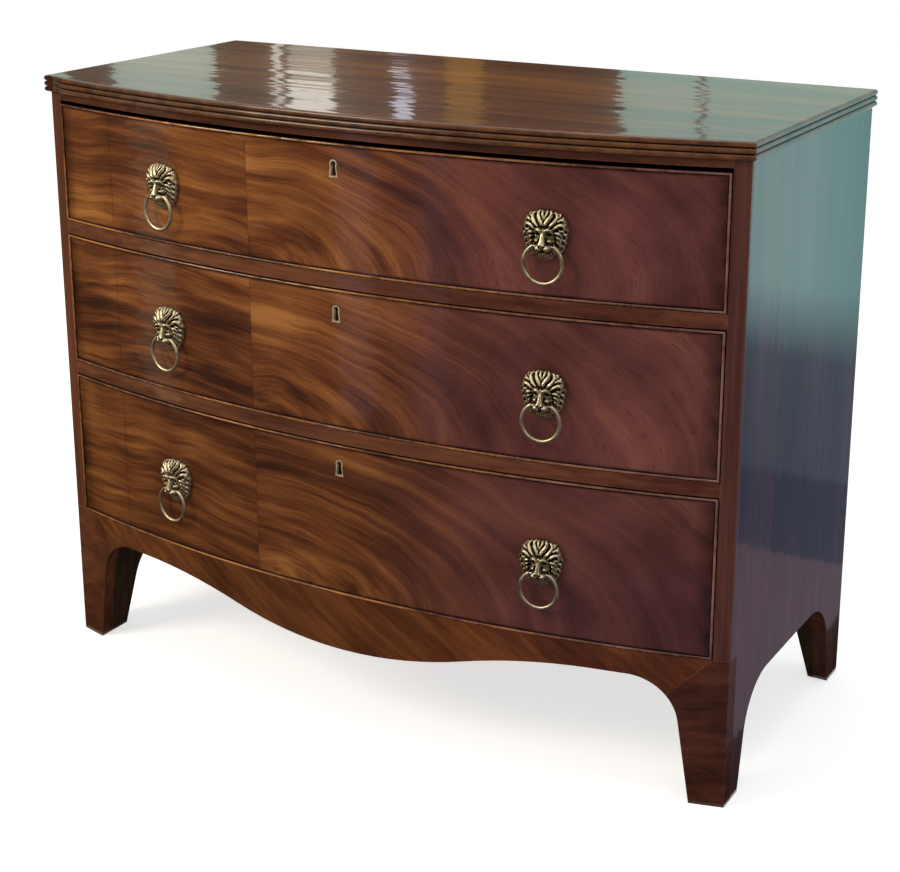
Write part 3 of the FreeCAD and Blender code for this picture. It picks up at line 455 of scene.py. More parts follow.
# drawer fronts: crotch mahogany veneer in leaves, the same sequence on every drawer; places are in metres
# and patterns in millimetres
flame = {
    "joint": -0.135,  # between the two large leaves, from the middle
    "edgeJoint": -0.385,
    "jointDark": 0.3,
    "edgeJointDark": 0.5,
    "seam": (0.0011, 0.0003),  # how far from a joint its dark line starts and is full
    "humpX": -0.33,  # the left leaf's streaks arch over here
    "humpRise": 0.028,
    "humpTurn": 5.5,  # radians of the arch in a metre
    "archX": -0.10,  # the right leaf's streaks turn round a centre near its lower edge
    "archStep": 0.012,  # and from drawer to drawer the centre shifts by this
    "archDrop": 0.01,
    "archFlat": 0.5,
    "archLength": 0.16,  # of streak in each radian of turn
    "leafStep": 0.02,  # how far each drawer's leaves lie from the last one's in the log
    "leafScale": 18.0,  # how fast the figure changes in a metre into the log
    "cloudStep": 0.23,
    # detail of each layer of figure, then its size along and across
    "layers": ((2.0, 300.0, 52.0), (3.0, 150.0, 11.0), (3.0, 60.0, 2.4)),
    "layerShares": (0.36, 0.14),  # of the second and third layer in the tone
    # millimetres across a bend in the streaks, and the metres that it moves them
    "wanders": ((154.0, 0.008), (33.3, 0.0007)),
    "wanderSpan": (0.25, 0.75),
    "cloud": 182.0,  # across a cloud of tone
    "cloudShare": 0.5,
    "tones": ("#3b1f10", "#623619", "#845026", "#a66f38"),
    "toneStops": (0.40, 0.475, 0.55, 0.63),
    "calm": (0.03, 0.24, 0.8),  # where the figure starts to fade and where it has faded, and by how much
    # the quiet tones of the right end; their cool purple is partly painted light
    "calmTones": ("#4e2b2a", "#774642"),
    "calmStops": (0.38, 0.62),
    "mottle": 111.0,
    "mottleFigure": 0.4,  # how much of the figure is left in the mottle
    "shade": (0.82, 1.0, 1.02),  # painted shade of the bottom, middle and top drawer: the lowest is darkened as if less lit
    # length and width of a pore, which is drawn coarser than a real one to show
    "pore": (8.0, 1.2),
    "poreSpan": (0.6, 0.74, 0.4),
    # the colour of the dark marks: joints, dents, the darker ends and the painted shade along the beads
    "marksAndShade": "#150906",
    "endDark": 0.026,  # how far in from the end the drawer darkens
    "endDarkLevel": 0.85,
    "beadShadeReach": 0.008,  # how far in from the edge all round the painted shade along the beads reaches
    "beadShadeDark": 1.7,
    "beadShadeFall": 2.0,  # the power by which it fades out
    "beadWidth": 0.003,
    # how large the patches of the darker ends and the painted shade are, and how strong they are
    "edgeDarkPatch": 26.3,
    "edgeDarkLevel": 1.6,
    "dentsApart": 47.6,
    "dentSpan": (0.05, 0.02, 0.45),  # its edge and floor as shares of that distance, and how dark it is
    "swell": 100.0,
    "wear": 0.2,
    "creviceGrime": 0.6,
}


def flameVeneer(name, low, high, index, f):
    # crotch mahogany veneer, French polished: soft golden streaks, level on the left leaf and arching on
    # the right one
    material, add = newMaterial(name)
    place = add("TexCoord").outputs["Object"]
    apart = add("SeparateXYZ", {0: place})
    x = apart.outputs["X"]
    middle = (low[2] + high[2]) / 2
    halfHeight = (high[2] - low[2]) / 2
    v = add("Math SUBTRACT", {0: apart.outputs["Z"], 1: middle})
    flat = add("CombineXYZ", {0: x, 1: f["cloudStep"] * index, 2: v})
    bends = []
    for size, reach in f["wanders"]:
        bend = add("TexNoise", {0: flat, "Scale": 1000 / size, "Detail": 2.0})
        bends.append(add("MapRange", span(bend, *f["wanderSpan"], reach, -reach)))
    wander = add("Math ADD", {0: bends[0], 1: bends[1]})

    # left leaf: level streaks that lift over a low hump
    turn = f["humpTurn"]
    hump = add("Math MULTIPLY_ADD", {0: x, 1: turn, 2: -turn * f["humpX"]})
    hump = add("Math COSINE", {0: hump})
    lift = add("Math MULTIPLY_ADD", {0: hump, 1: -f["humpRise"], 2: v})

    # right leaf: the distance from a centre low on the left gives flattened arches
    dx = add("Math SUBTRACT", {0: x, 1: f["archX"] - f["archStep"] * index})
    dx = add("Math MULTIPLY", {0: dx, 1: f["archFlat"]})
    dz = add("Math ADD", {0: v, 1: halfHeight + f["archDrop"]})
    arm = add("CombineXYZ", {0: dx, 2: dz})
    radius = add("VectorMath LENGTH", {0: arm})
    turn = add("Math ARCTAN2", {0: dz, 1: dx})
    turnLength = add("Math MULTIPLY", {0: turn, 1: -f["archLength"]})

    onRight = add("Math GREATER_THAN", {0: x, 1: f["joint"]})
    across = add("Mix FLOAT", {0: onRight, 1: lift, 2: radius})
    across = add("Math ADD", {0: across, 1: wander})
    along = add("Mix FLOAT", {0: onRight, 1: x, 2: turnLength})
    figure = add("CombineXYZ", {0: along, 1: across, 2: f["leafStep"] * index})
    layers = []
    for detail, length, width in f["layers"]:
        scale = (1000 / length, 1000 / width, f["leafScale"])
        scaled = add("Mapping", {0: figure, "Scale": scale})
        layers.append(add("TexNoise", {0: scaled, "Scale": 1.0, "Detail": detail, "Roughness": 0.5}))
    cloud = add("TexNoise", {0: flat, "Scale": 1000 / f["cloud"], "Detail": 2.0})
    tone = add("Mix FLOAT", {0: f["cloudShare"], 1: layers[0], 2: cloud})
    for share, layer in zip(f["layerShares"], layers[1:]):
        tone = add("Mix FLOAT", {0: share, 1: tone, 2: layer})
    color = add("ValToRGB", {0: tone, "stops": zip(f["toneStops"], f["tones"])})

    # towards the right the figure fades into a quiet mottled red brown, whose cool purple is partly
    # painted light from the right
    mottle = add("TexNoise", {0: flat, "Scale": 1000 / f["mottle"], "Detail": 4.0})
    quiet = add("Mix FLOAT", {0: f["mottleFigure"], 1: mottle, 2: tone})
    quiet = add("ValToRGB", {0: quiet, "stops": zip(f["calmStops"], f["calmTones"])})
    calm = add("MapRange", span(x, *f["calm"]))
    color = add("Mix RGBA", {0: calm, 1: color, 2: quiet})
    # painted shade: each drawer's colour is darkened by how little light it gets
    shade = f["shade"][index]
    color = add("Mix RGBA", {"blend_type": "MULTIPLY", 0: 1.0, 1: color, 2: (shade, shade, shade, 1)})

    # short dark pores along the figure, where polish and dust have filled them
    poreLength, poreWidth = f["pore"]
    scale = (1000 / poreLength, 1000 / poreWidth, f["leafScale"])
    ticks = add("Mapping", {0: figure, "Scale": scale})
    ticks = add("TexNoise", {0: ticks, "Scale": 1.0, "Detail": 1.0})
    pore = add("MapRange", span(ticks, *f["poreSpan"]))
    color = add("Mix RGBA", {0: pore, 1: color, 2: f["tones"][0]})

    # darker along the beads, widest at the two ends: the ends darken, and inside every bead runs a line of
    # painted shade
    endX = high[0] - f["beadWidth"]
    fromEnd = add("Math ABSOLUTE", {0: x})
    endDark = add("MapRange", span(fromEnd, high[0] - f["endDark"], endX, f["endDarkLevel"]))
    fromEdge = add("Math ABSOLUTE", {0: v})
    # painted shade: a soft dark line along the inside of the beads, where they shade the front
    edgeShade = add("MapRange", span(fromEdge, halfHeight - f["beadShadeReach"], halfHeight - f["beadWidth"]))
    endLine = add("MapRange", span(fromEnd, high[0] - f["beadShadeReach"], endX))
    line = add("Math MAXIMUM", {0: edgeShade, 1: endLine})
    line = add("Math POWER", {0: line, 1: f["beadShadeFall"]})
    line = add("Math MULTIPLY", {0: line, 1: f["beadShadeDark"]})
    marksAndShade = add("Math MAXIMUM", {0: endDark, 1: line})
    # the darker ends and the painted shade come in patches
    paintedShade = add("TexNoise", {0: place, "Scale": 1000 / f["edgeDarkPatch"], "Detail": 5.0})
    marksAndShade = add("Math MULTIPLY", {0: marksAndShade, 1: paintedShade})
    marksAndShade = add("Math MULTIPLY", {"use_clamp": True, 0: marksAndShade, 1: f["edgeDarkLevel"]})

    # hairline joints between the leaves, and a few old dents filled with wax
    for joint in ("joint", "edgeJoint"):
        seam = add("Math SUBTRACT", {0: x, 1: f[joint]})
        seam = add("Math ABSOLUTE", {0: seam})
        seam = add("MapRange", span(seam, *f["seam"], f[joint + "Dark"]))
        marksAndShade = add("Math MAXIMUM", {0: marksAndShade, 1: seam})
    dents = add("TexVoronoi", {0: flat, "Scale": 1000 / f["dentsApart"]})
    dent = add("MapRange", span(dents.outputs["Distance"], *f["dentSpan"]))
    marksAndShade = add("Math MAXIMUM", {0: marksAndShade, 1: dent})
    color = add("Mix RGBA", {0: marksAndShade, 1: color, 2: f["marksAndShade"]})
    swell = add("TexNoise", {0: place, "Scale": 1000 / f["swell"], "Detail": 2.0})
    surface = add("Math SUBTRACT", {0: swell, 1: dent})
    finishPolish(add, color, surface, dict(mahogany, wear=f["wear"], creviceGrime=f["creviceGrime"]))
    return material


bead = {
    "crest": (0.0003, 0.0016),  # metres in front of the drawer, where the rubbing starts and is full
    "worn": "#b87430",
    # towards the right the rubbed crest turns cool pink-brown, partly painted cool light as on the fronts
    "wornRight": "#8c625a",
    "fade": (0.05, 0.46),  # where along the drawer one turns into the other
    "chip": 10.5,  # millimetres across the small chips, and along the longer rubbed runs
    "run": 143.0,
    "runShare": 0.6,
    # where in its noise rubbing starts and is full, how strong it is there and elsewhere
    "rubSpan": (0.42, 0.58, 1.0, 0.1),
    "tones": ("#140905", "#4a2414"),  # at the root, near black with painted shade where the bead meets the front, and at the crest
    "toneStops": (0.0, 0.6),
    # what differs from the other polished pieces
    "polish": {
        "wear": 0.0, "creviceGrime": 0.7, "gloss": 0.3, "coat": 0.7, "roughness": 0.3,
        "goldenTint": "#ffffff", "redTint": "#ffffff",
    },
}


def beadPolished(name, b):
    # mahogany cockbead, polished and then rubbed by hands: golden along the crest, and near black at the
    # root as painted shade
    material, add = newMaterial(name)
    place = add("TexCoord").outputs["Object"]
    away = bowDistance(add, place)
    proud = add("Math SUBTRACT", {0: away, 1: bowRadius})
    crest = add("MapRange", span(proud, *b["crest"]))
    chips = add("TexNoise", {0: place, "Scale": 1000 / b["chip"], "Detail": 5.0, "Roughness": 0.7})
    runs = add("TexNoise", {0: place, "Scale": 1000 / b["run"], "Detail": 3.0})
    rub = add("Mix FLOAT", {0: b["runShare"], 1: chips, 2: runs})
    rub = add("MapRange", span(rub, *b["rubSpan"]))
    wear = add("Math MULTIPLY", {0: crest, 1: rub})
    # painted shade: the bead darkens towards its root in the crease beside the front
    root = add("ValToRGB", {0: crest, "stops": zip(b["toneStops"], b["tones"])})
    apart = add("SeparateXYZ", {0: place})
    fade = add("MapRange", span(apart.outputs["X"], *b["fade"]))
    worn = add("Mix RGBA", {0: fade, 1: b["worn"], 2: b["wornRight"]})
    color = add("Mix RGBA", {0: wear, 1: root, 2: worn})
    finishPolish(add, color, chips, dict(mahogany, **b["polish"]))
    return material


for index, drawerName in enumerate(drawerNames):
    low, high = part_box("drawer_front_" + drawerName)
    veneer = flameVeneer("mahoganyVeneerFrenchPolished_" + drawerName, low, high, index, flame)
    dress("drawer_front_" + drawerName, veneer)
    dress("cockbeads_" + drawerName, beadPolished("mahoganyBeadRubbed_" + drawerName, bead))
print("drawer fronts veneered")

# bare wood: the inside, the back and the drawer linings
bare = {
    # darkest, middle and lightest colour, then millimetres across and along a streak
    "pine": (("#5f452c", "#8c6a44", "#ab8a5e"), 9.0, 320.0),
    "stained": (("#20130b", "#33200f", "#472e18"), 9.0, 320.0),
    "oak": (("#5a4029", "#7e5e3e", "#967756"), 4.0, 170.0),
    "toneStops": (0.36, 0.5, 0.64),
    "fibre": 1.5,  # millimetres across a fibre, drawn as coarse as shows
    "fibreLength": 0.25,  # of a streak's
    "fibreShare": 0.25,
    "stain": 200.0,  # millimetres
    "stainShare": 0.3,
    # the colour of the painted shade in inside corners
    "cornerShade": "#2c1e13",
    "cornerShadeReach": 0.02,  # metres out of a corner that the painted shade reaches
    "cornerShadeSpan": (0.8, 0.3, 0.6),  # how open a place is where the painted shade starts and is full, and how dark it is
    "bump": 0.35,
    "bumpDepth": 0.0006,  # metres
    "ior": 1.5,
    "roughness": 0.72,
    "gloss": 0.25,
}


def bareWood(name, kind, turn, b):
    # unpolished wood, dry and darkened by age: matt, streaked, with raised grain and water stains
    tones, width, length = b[kind]
    wood = {"turn": turn, "shift": (0, 0, 0)}
    material, add = newMaterial(name)
    streaks = grainNoise(add, wood, length, width, Detail=5.0, Roughness=0.6, Distortion=0.4)
    fine = grainNoise(add, wood, length * b["fibreLength"], b["fibre"], Detail=2.0)
    place = add("TexCoord").outputs["Object"]
    stain = add("TexNoise", {0: place, "Scale": 1000 / b["stain"], "Detail": 4.0})
    tone = add("Mix FLOAT", {0: b["stainShare"], 1: streaks, 2: stain})
    tone = add("Mix FLOAT", {0: b["fibreShare"], 1: tone, 2: fine})
    color = add("ValToRGB", {0: tone, "stops": zip(b["toneStops"], tones)})
    # painted shade: the wood darkens within a few centimetres of an inside corner
    hollow = add("AmbientOcclusion", {"samples": 6, "Distance": b["cornerShadeReach"]})
    cornerShade = add("MapRange", span(hollow.outputs["AO"], *b["cornerShadeSpan"]))
    color = add("Mix RGBA", {0: cornerShade, 1: color, 2: b["cornerShade"]})
    bump = add("Bump", {"Strength": b["bump"], "Distance": b["bumpDepth"], "Height": tone})
    shader = add("BsdfPrincipled", {
        "Base Color": color, "Normal": bump, "Roughness": b["roughness"], "IOR": b["ior"],
        "Specular IOR Level": b["gloss"],
    })
    add("OutputMaterial", {0: shader})
    return material


pineLevel = bareWood("pineSawnLevel", "pine", (0, 0, 0), bare)
pineUpright = bareWood("pineSawnUpright", "pine", upright, bare)
pineStained = bareWood("pineStained", "stained", upright, bare)
pineForward = bareWood("pineSawnForward", "pine", (0, 0, quarter), bare)
oakLevel = bareWood("oakPlanedLevel", "oak", (0, 0, 0), bare)
oakForward = bareWood("oakPlanedForward", "oak", (0, 0, quarter), bare)
unpolished = {
    "top_rail_back": pineLevel, "bottom_board": pineLevel, "dustboards": pineForward,
    "base_blocks": pineStained, "back_boards": pineUpright, "drawer_runners": oakForward,
    "kickers": oakForward, "drawer_stops": oakLevel,
}
for drawerName in drawerNames:
    unpolished["drawer_side_left_" + drawerName] = oakForward
    unpolished["drawer_side_right_" + drawerName] = oakForward
    unpolished["drawer_back_" + drawerName] = oakLevel
    unpolished["drawer_bottom_" + drawerName] = pineForward
for nodeName, finish in unpolished.items():
    dress(nodeName, finish)
print("bare wood done")

# metal
metal = {
    "hollow": 0.004,  # metres within which a wall makes a hollow dark
    "cast": ("#17120e", "#6c5a3e", "#e0d2aa"),  # in the hollows, between, and on the high places
    "castStops": (0.12, 0.44, 0.78),
    "castOpen": (0.4, 0.88),  # how open a place is where rubbing starts and is full
    "castMottle": 4.2,  # millimetres across a patch
    "castUneven": 0.6,
    "castShine": (0.3, 1.0),
    "castRough": (0.6, 0.33),
    "castBump": 0.25,
    "turned": ("#ab9869", "#e6dab2"),  # in the dull patches, and between them
    "rim": ("#c8b484", "#f0e4c0"),
    "turnedStops": (0.22, 0.5),
    "turnedOpen": (0.1, 0.6, 1.0, 0.5),  # from and to how open, then how bright there and in hollows
    "turnedPatch": 9.1,
    "turnedRough": (0.36, 0.5),
    "rimShine": 0.7,  # tarnish takes some of the shine of the keyhole rims
    "iron": ("#262120", "#4a2f22"),  # bare and rusted
    "ironStops": (0.4, 0.7),
    "ironShine": 0.7,
    "ironRough": 0.55,
    "ironBump": 0.4,
    "rustSpot": 5.6,
    "bumpDepth": 0.0002,  # metres
}


def castBrassPatinated(name, m):
    # cast and chased brass, never lacquered: high places rubbed pale, hollows gone black
    material, add = newMaterial(name)
    place = add("TexCoord").outputs["Object"]
    hollow = add("AmbientOcclusion", {"samples": 12, "Distance": m["hollow"]})
    exposed = add("MapRange", span(hollow.outputs["AO"], *m["castOpen"]))
    mottle = add("TexNoise", {0: place, "Scale": 1000 / m["castMottle"], "Detail": 4.0})
    uneven = m["castUneven"]
    rub = add("Math MULTIPLY_ADD", {0: mottle, 1: uneven, 2: -uneven / 2})
    rub = add("Math ADD", {"use_clamp": True, 0: exposed, 1: rub})
    color = add("ValToRGB", {0: rub, "stops": zip(m["castStops"], m["cast"])})
    dull, bright = m["castShine"]
    shine = add("MapRange", span(rub, 0.0, 1.0, bright, dull))
    rough, smooth = m["castRough"]
    rough = add("MapRange", span(rub, 0.0, 1.0, smooth, rough))
    bump = add("Bump", {"Strength": m["castBump"], "Distance": m["bumpDepth"], "Height": mottle})
    shader = add("BsdfPrincipled", {
        "Base Color": color, "Metallic": shine, "Roughness": rough, "Normal": bump,
    })
    add("OutputMaterial", {0: shader})
    return material


def turnedBrass(name, tones, metallic, m):
    # drawn and hand-rubbed brass: a pale soft gloss with duller patches
    material, add = newMaterial(name)
    place = add("TexCoord").outputs["Object"]
    patches = add("TexNoise", {0: place, "Scale": 1000 / m["turnedPatch"], "Detail": 4.0})
    hollow = add("AmbientOcclusion", {"samples": 8, "Distance": m["hollow"]})
    exposed = add("MapRange", span(hollow.outputs["AO"], *m["turnedOpen"]))
    near = add("Math MULTIPLY", {0: patches, 1: exposed})
    color = add("ValToRGB", {0: near, "stops": zip(m["turnedStops"], tones)})
    smooth, rough = m["turnedRough"]
    rough = add("MapRange", span(patches, 0.0, 1.0, rough, smooth))
    shader = add("BsdfPrincipled", {"Base Color": color, "Metallic": metallic, "Roughness": rough})
    add("OutputMaterial", {0: shader})
    return material


def forgedIron(name, m):
    # forged and filed iron, oiled once and long since browned
    material, add = newMaterial(name)
    place = add("TexCoord").outputs["Object"]
    rust = add("TexNoise", {0: place, "Scale": 1000 / m["rustSpot"], "Detail": 6.0})
    color = add("ValToRGB", {0: rust, "stops": zip(m["ironStops"], m["iron"])})
    bump = add("Bump", {"Strength": m["ironBump"], "Distance": m["bumpDepth"], "Height": rust})
    shader = add("BsdfPrincipled", {
        "Base Color": color, "Metallic": m["ironShine"], "Roughness": m["ironRough"], "Normal": bump,
    })
    add("OutputMaterial", {0: shader})
    return material


castBrass = castBrassPatinated("brassCastPatinated", metal)
ringBrass = turnedBrass("brassTurned", metal["turned"], 1.0, metal)
rimBrass = turnedBrass("brassFiledRim", metal["rim"], metal["rimShine"], metal)
iron = forgedIron("ironForged", metal)
dress("back_nails", iron)
dress("top_screws", iron)
for drawerName in drawerNames:
    dress("escutcheon_" + drawerName, rimBrass)
    for part in ("ring_left_", "ring_right_"):
        dress(part + drawerName, ringBrass)
    for part in ("lock_", "lock_bolt_", "handle_nuts_"):
        dress(part + drawerName, iron)
print("metal done")

# lion masks: relief in millimetres over a flat back, x to the right and z up from the middle
lion = {
    "halfWidth": 28.0,
    "halfHeight": 32.0,
    "turns": 320,  # points round the mask
    "rings": 72,  # points from the middle to the edge
    "handlePlace": 0.280,
    "handleDrop": 0.005,
    "postRadius": 2.5,
    "postLength": 31.0,
    "postChamfer": 0.6,
    "postRoot": 0.2,  # how far behind the edge it starts
    "postSides": 20,
    "floor": 4.4,  # how thick the casting is between the locks near its middle
    "rim": 1.6,  # and at its edge
    "rimMost": 1.8,
    "dome": 0.98,  # at 1 it would fall right down to the rim at the oval
    "lockLeast": 3.5,  # relief above this is part of a lock, and the outline goes round it
    "chased": 1.25,  # grooves in half the width of a lock
    "reach": (0.7, 1.06),  # how far in and out of the oval the outline may lie
    "tries": 72,
    "leastReach": 0.9,
    "beardCorner": (12.0, -15.0, 0.82),  # beside the beard the outline may come in further
    "crowd": 0.85,  # below 1 the net is denser towards the edge
    "face": (13.3, 15.4, 12.4),  # half width, half height and rise of the skull
    "faceMiddle": -3.2,
    # the groove round the face: two half sizes, place and half width as shares of them, and depth
    "groove": (13.3, 14.6, 1.06, 0.15, 5.0),
    "tufts": 6,
    "tuftStep": 2.5,
    "tuftTip": -31.2,
    "tuftRise": 0.062,  # how fast the tips climb away from the middle
    # each tuft's points: x as a share of its root's, height over its tip, half width and relief
    "tuft": ((0.86, 11.5, 0.9, 9.6), (1.0, 6.0, 1.25, 8.6), (1.08, 0.0, 0.35, 3.2)),
    "muzzleFloor": 10.6,
    "muzzleEdge": 0.01,
    "thinnest": 0.05,  # half the width that the tip of a lock keeps
    "none": -9.0,  # lower than any relief
}


def curvePoints(points, count=12):
    # a smooth run through points that each hold x, z, half width and height
    p = np.array(points, float)
    p = np.vstack([2 * p[0] - p[1], p, 2 * p[-1] - p[-2]])
    run = []
    for i in range(1, len(p) - 2):
        for s in np.linspace(0, 1, count, endpoint=False):
            a = 2 * p[i]
            b = (p[i + 1] - p[i - 1]) * s
            c = (2 * p[i - 1] - 5 * p[i] + 4 * p[i + 1] - p[i + 2]) * s * s
            d = (-p[i - 1] + 3 * p[i] - 3 * p[i + 1] + p[i + 2]) * s ** 3
            run.append((a + b + c + d) / 2)
    run.append(p[-2])
    return np.array(run)


def strand(x, z, points, grooves=0.0, steep=1.0, blunt=2.0, wide=1.0):
    # relief of one lock or ridge: rounded across, with grooves chased along it
    run = curvePoints(points)
    nearest = np.full(x.shape, np.inf)
    relief = np.full(x.shape, lion["none"])
    for a, b in zip(run[:-1], run[1:]):
        dx, dz = b[0] - a[0], b[1] - a[1]
        length = max(dx * dx + dz * dz, 1e-9)
        s = np.clip(((x - a[0]) * dx + (z - a[1]) * dz) / length, 0, 1)
        width = np.maximum(a[2] + (b[2] - a[2]) * s, lion["thinnest"]) * wide
        top = a[3] + (b[3] - a[3]) * s
        side = ((x - a[0]) * dz - (z - a[1]) * dx) / math.sqrt(length)
        away = np.hypot(x - a[0] - dx * s, z - a[1] - dz * s) / width
        here = top - width * steep * (1 - np.sqrt(np.clip(1 - away ** blunt, 0, 1)))
        wave = np.cos(2 * math.pi * lion["chased"] * side / width)
        here = here - grooves * width * (0.5 - 0.5 * wave)
        relief = np.where((away < 1) & (away < nearest), here, relief)
        nearest = np.minimum(nearest, away)
    return relief


def swelling(x, z, cx, cz, rx, rz, lift, turn=0.0, power=1.5):
    # a smooth rounded bump, or a hollow where lift is negative; a low power gives a ball
    c, s = math.cos(math.radians(turn)), math.sin(math.radians(turn))
    u = ((x - cx) * c + (z - cz) * s) / rx
    w = (-(x - cx) * s + (z - cz) * c) / rz
    return lift * np.clip(1 - u * u - w * w, 0, 1) ** power


maneLocks = (
    # forelocks, from the brow up over the crown, with their tips turned in
    ((1.2, 11.2, 1.2, 13.4), (2.0, 14.8, 1.9, 14.6), (4.6, 19.6, 2.3, 13.4), (7.4, 24.2, 2.2, 10.8),
     (7.4, 28.2, 1.5, 7.8), (5.4, 30.4, 0.5, 5.0)),
    ((0.9, 18.6, 0.6, 10.6), (1.2, 22.6, 1.3, 11.2), (2.8, 27.0, 1.5, 9.0), (2.4, 30.6, 0.6, 5.4)),
    ((6.2, 12.0, 1.2, 13.0), (9.6, 14.8, 2.0, 13.8), (13.0, 18.8, 2.2, 12.0), (14.8, 23.2, 1.9, 9.0),
     (13.2, 26.8, 1.3, 6.6), (11.0, 28.4, 0.5, 5.0)),
    # the curl over each temple
    ((10.6, 9.2, 1.2, 12.2), (15.2, 12.6, 2.0, 13.4), (20.2, 14.8, 2.2, 11.8), (24.0, 11.8, 1.9, 9.8),
     (22.6, 7.8, 1.6, 9.6), (19.0, 8.0, 1.2, 10.4), (19.0, 10.2, 0.6, 10.0)),
    ((16.6, 18.4, 1.0, 9.8), (20.2, 20.2, 1.8, 8.6), (23.6, 17.8, 1.5, 6.4), (25.4, 14.4, 0.5, 4.6)),
    ((17.4, 22.6, 0.8, 6.6), (18.6, 25.0, 1.2, 5.8), (16.6, 27.0, 0.5, 4.4)),
    ((20.6, 23.2, 0.7, 5.6), (22.8, 21.4, 0.9, 5.0), (24.4, 19.4, 0.4, 4.0)),
    ((26.0, 10.8, 0.9, 7.0), (27.4, 7.4, 1.2, 6.0), (26.6, 4.4, 0.5, 4.6)),
    # two rows of hooked locks past the cheek, the inner ones over the outer
    ((13.4, 5.6, 1.0, 12.0), (17.0, 5.0, 1.9, 12.4), (20.4, 2.6, 1.8, 10.4), (21.4, -0.8, 0.6, 7.4)),
    ((13.6, 0.8, 1.0, 11.4), (17.0, -0.4, 1.9, 11.4), (20.0, -4.0, 1.7, 9.2), (20.2, -7.8, 0.6, 6.6)),
    ((13.4, -4.0, 1.0, 10.6), (16.4, -6.0, 1.8, 10.0), (18.8, -10.2, 1.5, 7.8), (18.4, -14.2, 0.6, 5.6)),
    ((14.2, -11.2, 0.9, 7.6), (15.8, -14.0, 1.4, 7.6), (16.4, -18.2, 1.3, 6.0), (14.6, -21.8, 0.5, 4.4)),
    ((22.6, 5.4, 1.0, 8.6), (25.4, 2.2, 1.5, 7.4), (26.2, -2.2, 0.6, 5.0)),
    ((22.4, -2.0, 1.0, 8.2), (24.8, -5.6, 1.5, 7.0), (24.8, -10.0, 0.6, 4.6)),
    ((21.2, -9.2, 1.0, 7.2), (22.8, -13.2, 1.4, 6.0), (21.4, -17.6, 0.6, 4.4)),
    ((19.0, -16.4, 0.9, 6.0), (19.2, -20.2, 1.1, 5.0), (16.8, -23.4, 0.5, 4.0)),
)
faceRidges = (
    ((1.6, 4.0, 1.0, 15.4), (3.2, 8.0, 2.0, 18.0), (7.2, 9.2, 2.1, 17.0), (11.6, 5.0, 1.1, 12.4)),  # brow
    ((4.0, 4.4, 0.5, 11.0), (7.2, 5.6, 0.7, 11.8), (10.8, 3.2, 0.5, 10.4)),  # upper lid
    ((4.6, 2.2, 0.4, 10.6), (7.6, 1.0, 0.8, 11.2), (10.8, 2.4, 0.4, 10.0)),  # lower lid
)
noseBridge = ((0.0, 7.6, 2.4, 14.6), (0.0, 2.6, 2.6, 17.0), (0.0, -3.6, 3.4, 19.6), (0.0, -7.6, 4.4, 21.2))
# swellings and hollows: middle x and z, half width, half height, lift, then turn and power if they differ
skullForms = (
    (7.4, 3.6, 5.2, 4.2, -5.4),  # eye socket
    (7.5, 3.3, 2.8, 1.9, 3.6),  # eyeball
    (7.1, 3.2, 0.9, 0.9, -1.6),  # pupil
    (8.8, -3.9, 5.0, 3.0, 6.0, -10, 0.8),  # cheek
    (4.4, -3.0, 1.6, 5.0, -2.6, 10),  # fold beside the nose
    (0.0, -20.2, 6.4, 3.2, 8.4),  # chin
)
nostrilWing = (3.8, -8.2, 2.3, 2.1, 1.4)
whiskerPad = (5.3, -12.6, 5.3, 4.9, 9.6, 0, 0.6)
muzzleForms = (
    (2.5, -10.0, 1.5, 1.0, -4.0),  # nostril
    (0.0, -13.7, 0.7, 3.6, -4.4),  # cleft of the lip
    (3.8, -18.0, 5.6, 1.0, -4.6),  # mouth
    (4.0, -12.0, 0.5, 0.5, -0.8),  # roots of the whiskers
    (5.9, -12.0, 0.5, 0.5, -0.8),
    (4.0, -13.8, 0.5, 0.5, -0.8),
    (5.9, -13.8, 0.5, 0.5, -0.8),
)


def lionRelief(x, z):
    # the far side is the mirror of the near one
    m = np.abs(x)
    oval = (x / lion["halfWidth"]) ** 2 + (z / lion["halfHeight"]) ** 2
    dome = np.sqrt(np.clip(1 - oval * lion["dome"], 0, 1))
    relief = lion["rim"] + (lion["floor"] - lion["rim"]) * dome
    for points in maneLocks:
        relief = np.maximum(relief, strand(m, z, points, grooves=0.42, steep=1.9, wide=1.1))
    # a deep groove parts the face from the mane
    grooveX, grooveZ, place, half, depth = lion["groove"]
    ring = np.hypot(x / grooveX, (z - lion["faceMiddle"]) / grooveZ)
    relief = relief - depth * np.clip(1 - np.abs(ring - place) / half, 0, 1)
    # the beard, short pointed tufts side by side round the chin
    for step in range(lion["tufts"]):
        root = lion["tuftStep"] * (0.5 + step)
        tip = lion["tuftTip"] + lion["tuftRise"] * root * root
        points = [(root * share, tip + up, width, high) for share, up, width, high in lion["tuft"]]
        relief = np.maximum(relief, strand(m, z, points, steep=2.4))

    faceX, faceZ, rise = lion["face"]
    skull = rise * np.sqrt(np.clip(1 - (x / faceX) ** 2 - ((z - lion["faceMiddle"]) / faceZ) ** 2, 0, 1))
    for form in skullForms:
        skull = skull + swelling(m, z, *form)
    relief = np.maximum(relief, skull)
    relief = np.maximum(relief, strand(x, z, noseBridge, steep=1.1, blunt=3.2))
    relief = relief + swelling(m, z, *nostrilWing)
    for points in faceRidges:
        relief = np.maximum(relief, strand(m, z, points, steep=1.4))
    pad = swelling(m, z, *whiskerPad)
    muzzle = np.where(pad > lion["muzzleEdge"], lion["muzzleFloor"] + pad, lion["none"])
    relief = np.maximum(relief, muzzle)
    for form in muzzleForms:
        relief = relief + swelling(m, z, *form)
    return relief


